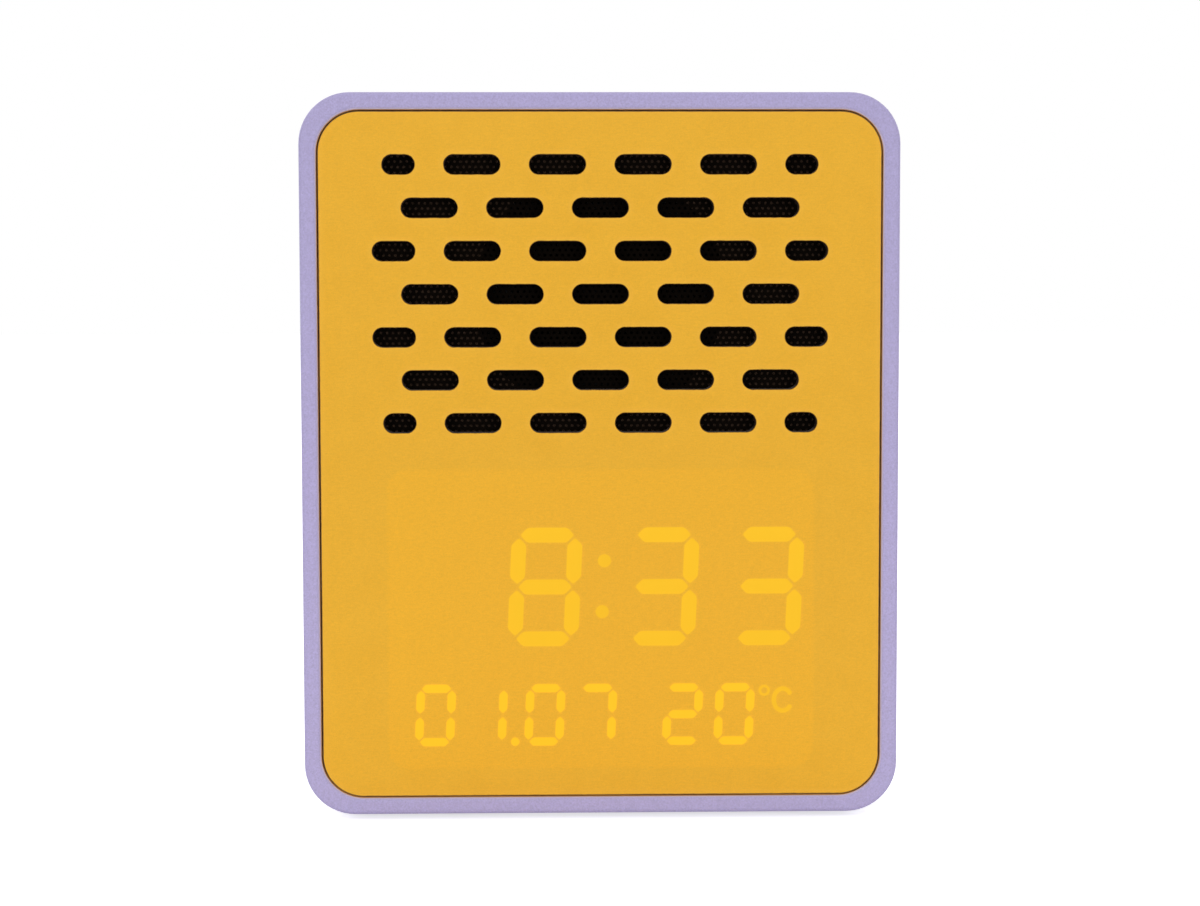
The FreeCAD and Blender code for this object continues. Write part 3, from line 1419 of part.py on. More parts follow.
def makeVoiceSwitchKnob():
    body = startBody("voice_switch_knob")
    x = sliderOffset
    plate = facingSketch(body, "plate", capFlangeRear)
    rectangle(plate, size.knob_plate_width, size.knob_plate_height, x, controlZ)
    pad(body, plate, size.knob_plate_thickness)
    nub = facingSketch(body, "nub", capFlangeRear)
    rectangle(nub, size.knob_width, size.knob_height, x, controlZ)
    pad(body, nub, coverRear + size.knob_proud - capFlangeRear, backwards=True)
    stem = facingSketch(body, "stem", plateFront)
    rectangle(stem, size.knob_stem, size.knob_stem, x, controlZ)
    pad(body, stem, size.knob_stem_length)
    return body


# Leads and ribbon


def roundedPath(points):
    # Straight runs joined by tangent arcs, each as large as the shorter of its two runs allows
    edges = []
    start = points[0]
    for before, corner, after in zip(points, points[1:], points[2:]):
        inward, outward = (before - corner), (after - corner)
        shorter = min(inward.Length, outward.Length)
        inward.normalize()
        outward.normalize()
        bisector = (inward + outward).normalize()
        turned = math.pi - inward.getAngle(outward)
        reach = arcShare * shorter
        radius = reach / math.tan(turned / 2)
        rise = radius / math.cos(turned / 2) - radius
        first, last = corner + inward * reach, corner + outward * reach
        edges.append(Part.LineSegment(start, first).toShape())
        edges.append(Part.Arc(first, corner + bisector * rise, last).toShape())
        start = last
    edges.append(Part.LineSegment(start, points[-1]).toShape())
    return Part.Wire(edges)


arcShare = 0.45


def pathPoints(places):
    return [Vector(*[asSize(value).number for value in point]) for point in places]


def makeLead(name, places):
    points = pathPoints(places)
    path = roundedPath(points)
    circle = Part.makeCircle(size.lead_diameter.number / 2, points[0], points[1] - points[0])
    return makeFeature(name, [path.makePipeShell([Part.Wire(circle)], True, True)])


def makeLeads():
    board = mainBoardFront
    entryZ = postLow + size.lead_diameter
    entryX = postX - size.post_diameter
    side = bayEnd + size.bay_wall + size.lug_length
    lugY = lugFront + size.lug_width / 2
    swing = board - size.post_length
    made = []
    for name, way, row, climbShares in (("battery_lead_red", -1, 2, ((0.35, 0.5),)),
                                        ("battery_lead_black", 1, 0, ((0.1, 0.3), (0.7, 0.7)))):
        start = cellZ(row)
        places = [(way * side, lugY, start), (way * (side + size.post_diameter), lugY, start)]
        for inward, climb in climbShares:
            places.append((way * (side + size.post_diameter), lugY - inward * (lugY - swing),
                           start + climb * (entryZ - start)))
        places.extend([(way * entryX, swing, entryZ - size.post_length / 2),
                       (way * entryX, swing, entryZ), (way * entryX, board, entryZ)])
        made.append(makeLead(name, places))
    for name, way in (("speaker_lead_red", 1), ("speaker_lead_black", -1)):
        start = tagEnd
        reach = board - start
        made.append(makeLead(name, [
            (way * tagX, start, tagZ), (way * tagX, start + reach / 4, tagZ),
            (way * tagX * leadSpreadShare, start + reach * 3 / 4, tagZ + size.post_length),
            (way * tagX * leadSpreadShare, board, tagZ + size.post_length),
        ]))
    return made


leadSpreadShare = 1.6


def makeDisplayRibbon():
    # A flat strip, drawn from the side along its path
    displayPlug, mainPlug = ribbonEnds()
    lead = size.plug_depth
    points = pathPoints([
        (ribbonX, displayPlug[0], displayPlug[1]), (ribbonX, displayPlug[0] + lead, displayPlug[1]),
        (ribbonX, mainPlug[0] - lead, mainPlug[1]), (ribbonX, mainPlug[0], mainPlug[1]),
    ])
    path = roundedPath(points)
    half, thin = size.ribbon_width.number / 2, size.ribbon_thickness.number / 2
    start = points[0]
    corners = [start + Vector(x, 0, z)
               for x, z in ((-half, -thin), (half, -thin), (half, thin), (-half, thin))]
    section = Part.makePolygon(corners + corners[:1])
    return makeFeature("display_ribbon", [path.makePipeShell([section], True, True)])


ribbonX = -mainBoardWidth / 4


def ribbonEnds():
    # Where the ribbon meets the two plugs, as depth and height
    display = (baffleRear + size.circuit_thickness + size.plug_depth, windowTop - displayTopMargin / 2)
    main = (mainBoardFront - size.plug_depth, postLow)
    return display, main


def makeRibbonPlugs():
    body = startBody("ribbon_plugs")
    for name, (face, z), forwards in zip(("display", "main"), ribbonEnds(), (True, False)):
        sketch = facingSketch(body, name, face)
        rectangle(sketch, size.ribbon_width + size.plug_height, size.plug_height, ribbonX, z)
        pad(body, sketch, size.plug_depth, backwards=not forwards)
    return body


def makeAll():
    made = [maker() for maker in (
        makeShell, makeFeet, makeFrontVeneer, makeFrontBoard, makeSpeakerMesh, makeBaffle,
        makeBaffleScrews)]
    segments = makeSegments()
    made.extend(segments)
    made.append(makeDisplayBlock(segments))
    made.extend(maker() for maker in (
        makeDisplayBoard, makeDisplayScrews, makeDisplayRibbon, makeRibbonPlugs,
        makeGasket, makeBasket, makeSurround, makeCone, makeDustCap, makeVoiceCoil, makeSpider,
        makeTopPlate, makeMagnet, makePoleYoke, makeTerminals, makeSpeakerScrews,
        makeBackCover, makeBackScrews, makeBatteryDoor, makeBatterySprings, makeBatteryPlates,
        makeMainBoard, makeMainBoardScrews, makeClockChip, makeVoiceChip, makeCrystal,
        makeCapacitors, makePowerSocket, makeTemperatureSensor, makeSwitchBodies,
        makeVoiceSwitchBody, makeVoiceSwitchKnob))
    made.extend(makeButtons())
    made.extend(makeLeads())
    return made


def check(pieces):
    # Refuses to write anything while a feature or a piece is unsound
    doc.recompute()
    faults = [item.Name for item in doc.Objects if {"Invalid", "Error"} & set(item.State)]
    for piece in pieces:
        shape = piece.Shape
        if shape.isNull() or not shape.isValid() or not shape.Solids:
            faults.append(piece.Label)
    if faults:
        raise RuntimeError(f"unsound: {faults}")


pieces = makeAll()
check(pieces)
for piece in pieces:
    piece.Shape.exportStep(f"parts/{piece.Label}.step")
    print(f"{piece.Label}: {len(piece.Shape.Solids)} solids, {piece.Shape.Volume:.1f} mm3")
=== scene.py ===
import json
import math

import bmesh
import bpy
from mathutils import Matrix, Vector

# A talking clock in a lilac sleeve: slotted yellow front over a loudspeaker, figures of light below,
# controls and battery bay on the back. Metres, +Z up, the front looks towards -Y.
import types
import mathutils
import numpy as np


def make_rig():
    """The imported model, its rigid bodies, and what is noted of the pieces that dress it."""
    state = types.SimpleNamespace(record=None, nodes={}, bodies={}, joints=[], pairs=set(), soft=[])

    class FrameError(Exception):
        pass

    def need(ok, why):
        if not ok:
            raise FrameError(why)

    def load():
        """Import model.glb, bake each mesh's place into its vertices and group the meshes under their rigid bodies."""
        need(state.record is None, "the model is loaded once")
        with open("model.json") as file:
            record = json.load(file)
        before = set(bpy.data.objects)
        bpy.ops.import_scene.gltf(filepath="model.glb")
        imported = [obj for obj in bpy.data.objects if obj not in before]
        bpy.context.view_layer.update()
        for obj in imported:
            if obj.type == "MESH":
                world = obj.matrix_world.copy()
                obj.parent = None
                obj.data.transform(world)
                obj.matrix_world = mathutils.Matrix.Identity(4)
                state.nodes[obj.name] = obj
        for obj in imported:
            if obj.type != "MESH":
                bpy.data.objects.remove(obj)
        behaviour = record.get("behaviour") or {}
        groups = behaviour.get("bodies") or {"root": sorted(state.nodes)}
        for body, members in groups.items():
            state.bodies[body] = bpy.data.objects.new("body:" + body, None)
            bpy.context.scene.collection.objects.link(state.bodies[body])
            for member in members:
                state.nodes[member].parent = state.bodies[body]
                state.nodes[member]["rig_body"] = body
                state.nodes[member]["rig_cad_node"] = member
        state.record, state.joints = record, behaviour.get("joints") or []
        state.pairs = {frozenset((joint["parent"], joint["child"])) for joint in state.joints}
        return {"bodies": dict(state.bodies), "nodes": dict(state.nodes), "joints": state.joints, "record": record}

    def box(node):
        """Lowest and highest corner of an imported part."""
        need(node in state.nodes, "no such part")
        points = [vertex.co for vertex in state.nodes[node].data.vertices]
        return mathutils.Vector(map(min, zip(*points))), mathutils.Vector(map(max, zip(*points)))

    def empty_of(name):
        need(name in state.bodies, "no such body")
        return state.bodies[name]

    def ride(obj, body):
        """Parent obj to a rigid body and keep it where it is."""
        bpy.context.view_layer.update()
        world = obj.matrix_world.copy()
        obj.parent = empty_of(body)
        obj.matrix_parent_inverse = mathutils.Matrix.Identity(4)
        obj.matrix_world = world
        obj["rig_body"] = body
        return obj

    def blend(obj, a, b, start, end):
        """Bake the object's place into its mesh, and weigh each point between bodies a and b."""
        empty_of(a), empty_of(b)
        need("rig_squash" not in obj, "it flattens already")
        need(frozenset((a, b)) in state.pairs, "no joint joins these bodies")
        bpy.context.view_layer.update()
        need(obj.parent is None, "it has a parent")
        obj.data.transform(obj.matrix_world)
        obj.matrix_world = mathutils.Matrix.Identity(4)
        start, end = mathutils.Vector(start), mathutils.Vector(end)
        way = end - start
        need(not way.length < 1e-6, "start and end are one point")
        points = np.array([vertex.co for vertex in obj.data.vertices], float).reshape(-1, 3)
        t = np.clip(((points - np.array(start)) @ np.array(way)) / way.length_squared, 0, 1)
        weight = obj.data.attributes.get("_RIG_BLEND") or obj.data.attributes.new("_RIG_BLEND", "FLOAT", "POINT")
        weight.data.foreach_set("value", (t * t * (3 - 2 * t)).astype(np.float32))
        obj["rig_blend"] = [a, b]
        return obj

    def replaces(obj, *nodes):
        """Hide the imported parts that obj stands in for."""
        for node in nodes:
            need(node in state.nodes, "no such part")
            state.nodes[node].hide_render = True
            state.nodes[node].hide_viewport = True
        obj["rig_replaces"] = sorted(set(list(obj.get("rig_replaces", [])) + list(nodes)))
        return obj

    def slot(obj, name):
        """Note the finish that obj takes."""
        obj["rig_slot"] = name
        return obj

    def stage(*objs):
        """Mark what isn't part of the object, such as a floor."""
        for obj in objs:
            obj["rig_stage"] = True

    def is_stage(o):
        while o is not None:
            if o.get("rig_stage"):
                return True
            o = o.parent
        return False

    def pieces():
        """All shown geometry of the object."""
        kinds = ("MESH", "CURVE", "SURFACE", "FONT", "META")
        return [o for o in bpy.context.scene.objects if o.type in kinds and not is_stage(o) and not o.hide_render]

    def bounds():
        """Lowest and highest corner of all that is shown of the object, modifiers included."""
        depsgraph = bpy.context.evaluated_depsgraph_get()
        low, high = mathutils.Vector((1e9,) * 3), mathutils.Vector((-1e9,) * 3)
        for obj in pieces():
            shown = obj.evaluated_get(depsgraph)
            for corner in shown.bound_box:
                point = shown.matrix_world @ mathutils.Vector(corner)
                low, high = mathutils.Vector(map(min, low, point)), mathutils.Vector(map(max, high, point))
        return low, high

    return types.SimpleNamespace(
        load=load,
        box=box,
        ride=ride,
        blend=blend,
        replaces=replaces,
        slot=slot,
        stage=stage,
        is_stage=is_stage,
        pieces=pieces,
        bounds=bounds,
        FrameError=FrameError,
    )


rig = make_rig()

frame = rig.load()
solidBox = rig.bounds()
shown = frame["nodes"]
mm = 0.001
print("frame loaded:", len(shown), "nodes")


# Nodes written as expressions

class Wire:
    def __init__(self, nodes, socket):
        self.nodes, self.socket = nodes, socket

    def __add__(self, other):
        return self.nodes.math("ADD", self, other)

    def __radd__(self, other):
        return self.nodes.math("ADD", other, self)

    def __sub__(self, other):
        return self.nodes.math("SUBTRACT", self, other)

    def __rsub__(self, other):
        return self.nodes.math("SUBTRACT", other, self)

    def __mul__(self, other):
        return self.nodes.math("MULTIPLY", self, other)

    def __rmul__(self, other):
        return self.nodes.math("MULTIPLY", other, self)

    def __truediv__(self, other):
        return self.nodes.math("DIVIDE", self, other)

    def __rtruediv__(self, other):
        return self.nodes.math("DIVIDE", other, self)

    def __pow__(self, other):
        return self.nodes.math("POWER", self, other)

    def __mod__(self, other):
        return self.nodes.math("FLOORED_MODULO", self, other)

    def __abs__(self):
        return self.nodes.math("ABSOLUTE", self)

    def __round__(self):
        return self.nodes.math("ROUND", self)

    def atLeast(self, other):
        return self.nodes.math("MAXIMUM", self, other)

    def atMost(self, other):
        return self.nodes.math("MINIMUM", self, other)

    def about(self, middle, swing):
        # for a noise around 0.5: a number that it moves to both sides of its middle
        return (self - 0.5) * swing + middle


class Nodes:
    def __init__(self, tree):
        self.tree = tree

    def add(self, kind, settings=None, inputs=None, out=0):
        # settings first, then the values or links of the sockets; a list links several wires to one socket
        made = self.tree.nodes.new(kind)
        for name, value in (settings or {}).items():
            setattr(made, name, value)
        for name, value in (inputs or {}).items():
            socket = made.inputs[name]
            for item in value if isinstance(value, list) else [value]:
                if isinstance(item, Wire):
                    self.tree.links.new(item.socket, socket)
                else:
                    socket.default_value = item
        return Wire(self, made.outputs[out]) if len(made.outputs) else made

    def math(self, operation, *values):
        return self.add("ShaderNodeMath", {"operation": operation}, dict(enumerate(values)))

    def step(self, value, low, high):
        # 0 below low, 1 above high, smooth between
        return self.add("ShaderNodeMapRange", {"interpolation_type": "SMOOTHSTEP"},
                        {"Value": value, "From Min": low, "From Max": high})

    def blend(self, factor, first, second):
        def colour(value):
            return value if isinstance(value, Wire) else (*value, 1)
        return self.add("ShaderNodeMix", {"data_type": "RGBA"},
                        {0: factor, 6: colour(first), 7: colour(second)}, out=2)

    def tint(self, colour, amount):
        # brightens or darkens a colour by a number
        return self.add("ShaderNodeVectorMath", {"operation": "SCALE"}, {0: colour, "Scale": amount})

    def length(self, across, up):
        return (across * across + up * up) ** 0.5

    def place(self):
        # the object's own coordinates, in millimetres
        there = self.add("ShaderNodeTexCoord", out="Object")
        return self.add("ShaderNodeVectorMath", {"operation": "SCALE"}, {0: there, "Scale": 1 / mm})

    def noise(self, place, scale, detail=3.0, rough=0.55):
        return self.add("ShaderNodeTexNoise", None,
                        {"Vector": place, "Scale": scale, "Detail": detail, "Roughness": rough})

    def stretched(self, place, scale):
        return self.add("ShaderNodeVectorMath", {"operation": "MULTIPLY"}, {0: place, 1: scale})

    def axes(self, place):
        apart = self.add("ShaderNodeSeparateXYZ", None, {0: place})
        return [Wire(self, apart.socket.node.outputs[index]) for index in range(3)]

    def normal(self):
        # x, y and z of the direction in which the surface looks
        return self.axes(self.add("ShaderNodeNewGeometry", out="Normal"))

    def vector(self, x=0.0, y=0.0, z=0.0):
        return self.add("ShaderNodeCombineXYZ", None, {"X": x, "Y": y, "Z": z})

    def seenBy(self, *rays):
        # 1 for the named rays of Light Path, 0 for all others
        path = self.add("ShaderNodeLightPath").socket.node
        seen = Wire(self, path.outputs[rays[0]])
        for ray in rays[1:]:
            seen = seen.atLeast(Wire(self, path.outputs[ray]))
        return seen


def newFinish(name):
    material = bpy.data.materials.new(name)
    material.use_nodes = True
    material.node_tree.nodes.clear()
    return material, Nodes(material.node_tree)


def closeFinish(nodes, colour, rough, relief, depth, metal=0.0, specular=0.5, emission=None):
    # the surface shader; relief is a height in shares of depth, in millimetres
    bump = nodes.add("ShaderNodeBump", None, {"Height": relief, "Distance": depth * mm, "Strength": 1.0})
    inputs = {"Base Color": colour, "Roughness": rough, "Metallic": metal, "Specular IOR Level": specular,
              "Normal": bump}
    if emission is not None:
        inputs["Emission Color"], inputs["Emission Strength"] = emission, 1.0
    shader = nodes.add("ShaderNodeBsdfPrincipled", None, inputs)
    nodes.add("ShaderNodeOutputMaterial", None, {"Surface": shader})


def addObject(name, data):
    made = bpy.data.objects.new(name, data)
    bpy.context.scene.collection.objects.link(made)
    return made


def finishMesh(name, form, smooth=None):
    # turns a bmesh into an object at the origin; edges that turn by less than smooth degrees are shaded round
    mesh = bpy.data.meshes.new(name)
    form.to_mesh(mesh)
    form.free()
    if smooth is not None:
        mesh.shade_smooth()
        mesh.set_sharp_from_angle(angle=math.radians(smooth))
    return addObject(name, mesh)


# Camera, on the line of sight of the photograph

cameraFit = {
    "place": (-8.98, -425.0, 90.12), "lens": 71.95, "sensor": 36.0,    # millimetres
    "pitch": 4.011, "yaw": 1.266, "roll": -0.103,                      # degrees
    "clip": (0.01, 50.0),                                              # metres
}


def makeCamera():
    data = bpy.data.cameras.new("camera")
    data.sensor_width, data.sensor_fit, data.lens = cameraFit["sensor"], "HORIZONTAL", cameraFit["lens"]
    data.clip_start, data.clip_end = cameraFit["clip"]
    camera = addObject("camera", data)
    pitch, yaw, roll = [math.radians(cameraFit[name]) for name in ("pitch", "yaw", "roll")]
    ahead = Vector((math.sin(yaw) * math.cos(pitch), math.cos(yaw) * math.cos(pitch), -math.sin(pitch)))
    right = Vector((math.cos(yaw), -math.sin(yaw), 0))
    up = right.cross(ahead)
    right, up = (right * math.cos(roll) + up * math.sin(roll), up * math.cos(roll) - right * math.sin(roll))
    turned = Matrix((right, up, -ahead)).transposed().to_4x4()
    camera.matrix_world = Matrix.Translation(Vector(cameraFit["place"]) * mm) @ turned
    bpy.context.scene.camera = camera
    print("camera ready")


makeCamera()


# Light and floor

studio = {
    "sky": 0.50, "floorColour": (0.86, 0.86, 0.86), "floorLift": 0.66, "floorReach": 4.0,
    "floorGrain": 0.02, "floorMottle": 0.02,
    "lamps": (
        # name, place, width, power
        ("keyLamp", (-0.9, -1.4, 0.8), 0.9, 8.35),
        ("fillLamp", (1.0, -1.4, 0.3), 0.9, 6.5),
        ("rearLeftLamp", (-1.1, 1.2, 0.9), 0.9, 6.8),
        ("rearRightLamp", (1.0, 1.3, 0.8), 0.9, 6.8),
        ("topLamp", (0.0, 0.1, 1.6), 1.0, 5.2),
    ),
}
white, black = (1, 1, 1, 1), (0, 0, 0, 1)


def makeSky():
    # white where it is looked at or mirrored, dimmer as a light
    world = bpy.data.worlds.new("sky")
    bpy.context.scene.world = world
    world.use_nodes = True
    world.node_tree.nodes.clear()
    nodes = Nodes(world.node_tree)
    seen = nodes.seenBy("Is Camera Ray", "Is Glossy Ray", "Is Transmission Ray")
    strength = seen * (1 - studio["sky"]) + studio["sky"]
    sky = nodes.add("ShaderNodeBackground", None, {"Color": white, "Strength": strength})
    nodes.add("ShaderNodeOutputWorld", None, {"Surface": sky})


def makeLamps():
    middle = (solidBox[0] + solidBox[1]) / 2
    for name, place, width, power in studio["lamps"]:
        data = bpy.data.lights.new(name, "AREA")
        data.shape, data.size, data.energy = "SQUARE", width, power
        lamp = addObject(name, data)
        aim = (middle - Vector(place)).to_track_quat("-Z", "Y").to_matrix().to_4x4()
        lamp.matrix_world = Matrix.Translation(place) @ aim
        lamp.visible_camera = False


def makeFloor():
    # pale, and lifted to white for the camera so that only the shadow shows
    reach = studio["floorReach"]
    corners = ((-reach, -reach), (reach, -reach), (reach, reach), (-reach, reach))
    form = bmesh.new()
    form.faces.new([form.verts.new((x, y, 0)) for x, y in corners])
    floor = finishMesh("floor", form)
    material, nodes = newFinish("paleFloor")
    tone = nodes.noise(nodes.place(), studio["floorGrain"]).about(1, studio["floorMottle"])
    shade = nodes.add("ShaderNodeBsdfDiffuse", None, {"Color": nodes.tint(studio["floorColour"], tone)})
    lift = nodes.seenBy("Is Camera Ray", "Is Glossy Ray") * studio["floorLift"]
    glow = nodes.add("ShaderNodeEmission", None, {"Color": white, "Strength": lift})
    both = nodes.add("ShaderNodeAddShader", None, {0: shade, 1: glow})
    nodes.add("ShaderNodeOutputMaterial", None, {"Surface": both})
    floor.data.materials.append(material)
    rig.stage(floor)


makeSky()
makeLamps()
makeFloor()
bpy.context.scene.view_settings.view_transform = "Standard"
print("studio ready")


# Outlines that the finishes follow, in millimetres

outlines = {
    "panelRadius": 6.8,
    "windowSize": (71.5, 50.55), "windowMiddle": (0.0, 34.075), "windowRadius": 3.4,
}
slots = {
    "rows": 7, "firstRow": 67.13, "rowPitch": 7.155, "pitch": 14.2, "half": 3.045, "halfHeight": 1.63,
    # place and half length of the short slots at the ends, in the middle rows and in the first and last
    "edge": (34.35, 1.92), "corner": (33.5, 1.07), "hidden": 20,
}


def roundedReach(nodes, x, z, middle, halves, radius):
    # distance to a rounded rectangle, below 0 inside it
    across = (abs(x - middle[0]) - (halves[0] - radius)).atLeast(0)
    up = (abs(z - middle[1]) - (halves[1] - radius)).atLeast(0)
    return nodes.length(across, up) - radius


def panelReach(nodes, x, z):
    low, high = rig.box("front_veneer")
    halves = ((high.x - low.x) / 2 / mm, (high.z - low.z) / 2 / mm)
    return roundedReach(nodes, x, z, (0.0, (low.z + high.z) / 2 / mm), halves, outlines["panelRadius"])


def windowReach(nodes, x, z):
    halves = [length / 2 for length in outlines["windowSize"]]
    return roundedReach(nodes, x, z, outlines["windowMiddle"], halves, outlines["windowRadius"])


def slotReach(nodes, x, z):
    # distance to the nearest slot of the staggered rows
    last = slots["rows"] - 1
    row = round((z - slots["firstRow"]) / slots["rowPitch"]).atLeast(0).atMost(last)
    up = z - slots["firstRow"] - row * slots["rowPitch"]
    odd = row % 2
    shift = (1 - odd) * (slots["pitch"] / 2)
    side = abs(x)
    column = round((side - shift) / slots["pitch"]).atLeast(0).atMost(odd + 1)
    across = (abs(side - column * slots["pitch"] - shift) - slots["half"]).atLeast(0)
    full = nodes.length(across, up)
    outer = nodes.step(abs(row - last / 2), last / 2 - 0.6, last / 2 - 0.4)    # 1 in the first and last row
    (edgeX, edgeHalf), (cornerX, cornerHalf) = slots["edge"], slots["corner"]
    endX = outer * (cornerX - edgeX) + edgeX
    endHalf = outer * (cornerHalf - edgeHalf) + edgeHalf
    # odd rows end in whole slots, so their short ones are put out of reach
    end = nodes.length((abs(side - endX) - endHalf).atLeast(0), up) + odd * slots["hidden"]
    return full.atMost(end) - slots["halfHeight"]


def facing(nodes, band=(0.5, 0.7)):
    # 1 on faces that look forwards or backwards, 0 on the walls of cuts
    return nodes.step(abs(nodes.normal()[1]), *band)


# Lilac plastic of the sleeve, the back cover and the door; noises are scale per millimetre, detail, roughness

lilac = {
    "colour": (0.396, 0.351, 0.584), "rough": 0.6, "roughSwing": 0.25, "relief": 0.035,
    "grain": (1 / 0.30, 4, 0.65), "mottle": 0.75, "speck": (0.9, 2), "speckMottle": 0.05,
    "cloud": (0.05, 3), "cloudBand": (0.45, 0.7), "cloudShare": 0.12, "cloudColour": (0.369, 0.345, 0.600),
    # painted light: how much lighter the foot is, and over which heights
    "footTone": 0.12, "footBand": (0.0, 122.0),
    # painted highlight along the sleeve's inner edge round the panel, how far it reaches and how deep
    "lip": (0.94, 0.77, 0.84), "lipReach": (0.22, 0.68), "lipDepth": (0.6, 1.2),
    # painted yellow light that the skin throws on the gap's wall
    "gapWall": (0.94, 0.44, 0.12), "gapReach": (0.35, 0.45),
}


def makeLilac():
    material, nodes = newFinish("lilacPlastic")
    place = nodes.place()
    x, y, z = nodes.axes(place)
    fine = nodes.noise(place, *lilac["grain"])
    speck = nodes.noise(place, *lilac["speck"])
    tone = 1 + (fine - 0.5) * lilac["mottle"] + (speck - 0.5) * lilac["speckMottle"]
    shade = nodes.tint(lilac["colour"], tone)
    # a slightly bluer tone where a noise gathers, so that large faces aren't flat, and painted light that makes the
    # sleeve lighter towards its foot
    cloud = nodes.step(nodes.noise(place, *lilac["cloud"]), *lilac["cloudBand"])
    shade = nodes.blend(cloud * lilac["cloudShare"], shade, lilac["cloudColour"])
    shade = nodes.tint(shade, 1 + (1 - nodes.step(z, *lilac["footBand"])) * lilac["footTone"])
    # round the panel: a painted highlight along the inner edge of the sleeve, which lifts the shade of its rounded
    # corner, and painted yellow light that the skin throws on the first millimetre of the gap's wall
    away = panelReach(nodes, x, z)
    front = 1 - nodes.step(y - solidBox[0].y / mm, *lilac["lipDepth"])
    lip = (1 - nodes.step(away, *lilac["lipReach"])) * front
    shade = nodes.blend(lip, shade, lilac["lip"])
    # painted light: the skin's yellow thrown on the wall of the gap
    wall = (1 - nodes.step(away, *lilac["gapReach"])) * (1 - facing(nodes)) * front
    shade = nodes.blend(wall, shade, lilac["gapWall"])
    rough = fine.about(lilac["rough"], lilac["roughSwing"])
    closeFinish(nodes, shade, rough, fine, lilac["relief"])
    return material


# Front skin: yellow fibre sheet, scorched where the laser cut it

skin = {
    "colour": (0.80, 0.425, 0.030), "rough": 0.62, "roughSwing": 0.3, "relief": 0.02, "specular": 0.2,
    "fibre": (2.2, 5, 0.65), "fibreStretch": (0.35, 1, 1.6), "fibreTone": 0.22, "fibreRelief": 0.6,
    "grain": (5.5, 3, 0.7), "grainTone": 0.34, "grainRelief": 0.4,
    "cloud": (0.16, 3), "cloudBand": (0.35, 0.7), "cloudShare": 0.45, "cloudColour": (0.765, 0.398, 0.024),
    # painted glow where the display lies behind the sheet
    "window": (0.845, 0.437, 0.026), "windowBand": (-0.5, 0.5), "windowShare": 0.75,
    # painted light: how much lighter the sheet is towards its foot, and over which heights
    "footTone": 0.055, "footBand": (5.0, 75.0),
    "ragged": (1.1, 3), "raggedBy": 0.14,
    "warm": (0.86, 0.46, 0.045), "warmBand": (0.1, 1.3), "warmShare": 0.35,
    "rim": (0.260, 0.115, 0.030), "rimBand": (0.0, 0.20),
    "scorch": (0.050, 0.014, 0.003), "scorchBand": (0.0, 0.16),
    "wall": (0.018, 0.007, 0.002), "soot": (3.0, 3), "sootStretch": (1, 0.3, 1), "sootSwing": 1.0,
}


def skinColour(nodes, place):
    # colour and relief of the sheet, with a painted glow of the display over it, and the scorched edges
    x, y, z = nodes.axes(place)
    fibre = nodes.noise(nodes.stretched(place, skin["fibreStretch"]), *skin["fibre"])
    grain = nodes.noise(place, *skin["grain"])
    cloud = nodes.step(nodes.noise(place, *skin["cloud"]), *skin["cloudBand"])
    shade = nodes.blend(cloud * skin["cloudShare"], skin["colour"], skin["cloudColour"])
    # painted light: the sheet is brighter where the display lies behind it
    window = 1 - nodes.step(windowReach(nodes, x, z), *skin["windowBand"])
    shade = nodes.blend(window * skin["windowShare"], shade, skin["window"])
    shade = nodes.tint(shade, 1 + (fibre - 0.5) * skin["fibreTone"] + (grain - 0.5) * skin["grainTone"])
    # painted light: lighter towards the foot
    shade = nodes.tint(shade, 1 + (1 - nodes.step(z, *skin["footBand"])) * skin["footTone"])
    ragged = (nodes.noise(place, *skin["ragged"]) - 0.5) * skin["raggedBy"]
    rim = ragged - panelReach(nodes, x, z)
    slot = slotReach(nodes, x, z) + ragged
    warm = 1 - nodes.step(rim.atMost(slot), *skin["warmBand"])
    shade = nodes.blend(warm * skin["warmShare"], shade, skin["warm"])
    shade = nodes.blend(1 - nodes.step(rim, *skin["rimBand"]), shade, skin["rim"])
    shade = nodes.blend(1 - nodes.step(slot, *skin["scorchBand"]), shade, skin["scorch"])
    return shade, fibre * skin["fibreRelief"] + grain * skin["grainRelief"]


def closeSkin(nodes, shade, relief, emission=None):
    rough = relief.about(skin["rough"], skin["roughSwing"])
    closeFinish(nodes, shade, rough, relief, skin["relief"], specular=skin["specular"], emission=emission)


def sootTone(nodes, place, grain):
    # streaks of soot along the walls of cuts, for the skin and the boards
    streak = nodes.noise(nodes.stretched(place, grain["sootStretch"]), *grain["soot"])
    return streak.about(1, grain["sootSwing"])


def makeSkin():
    material, nodes = newFinish("yellowSkin")
    place = nodes.place()
    shade, relief = skinColour(nodes, place)
    soot = nodes.tint(skin["wall"], sootTone(nodes, place, skin))
    closeSkin(nodes, nodes.blend(facing(nodes), soot, shade), relief)
    return material


# Boards behind the skin

boardGrain = {
    "fibre": (1.8, 5, 0.7), "fibreStretch": (1, 3, 1), "fibreSwing": 0.7,
    "soot": (2.5, 3), "sootStretch": (1, 0.3, 1), "sootSwing": 1.2, "ashBand": (0.5, 0.9),
    "roughSwing": 0.3, "relief": 0.05, "specular": 0.25,
}
boards = {
    # face, wall of the cuts, painted light on walls that look up, roughness
    "frontFibreboard": ((0.42, 0.27, 0.13), (0.024, 0.013, 0.007), (0.13, 0.11, 0.11), 0.8),
    "baffleFibreboard": ((0.105, 0.062, 0.040), (0.05, 0.03, 0.02), (0.05, 0.03, 0.02), 0.85),
}


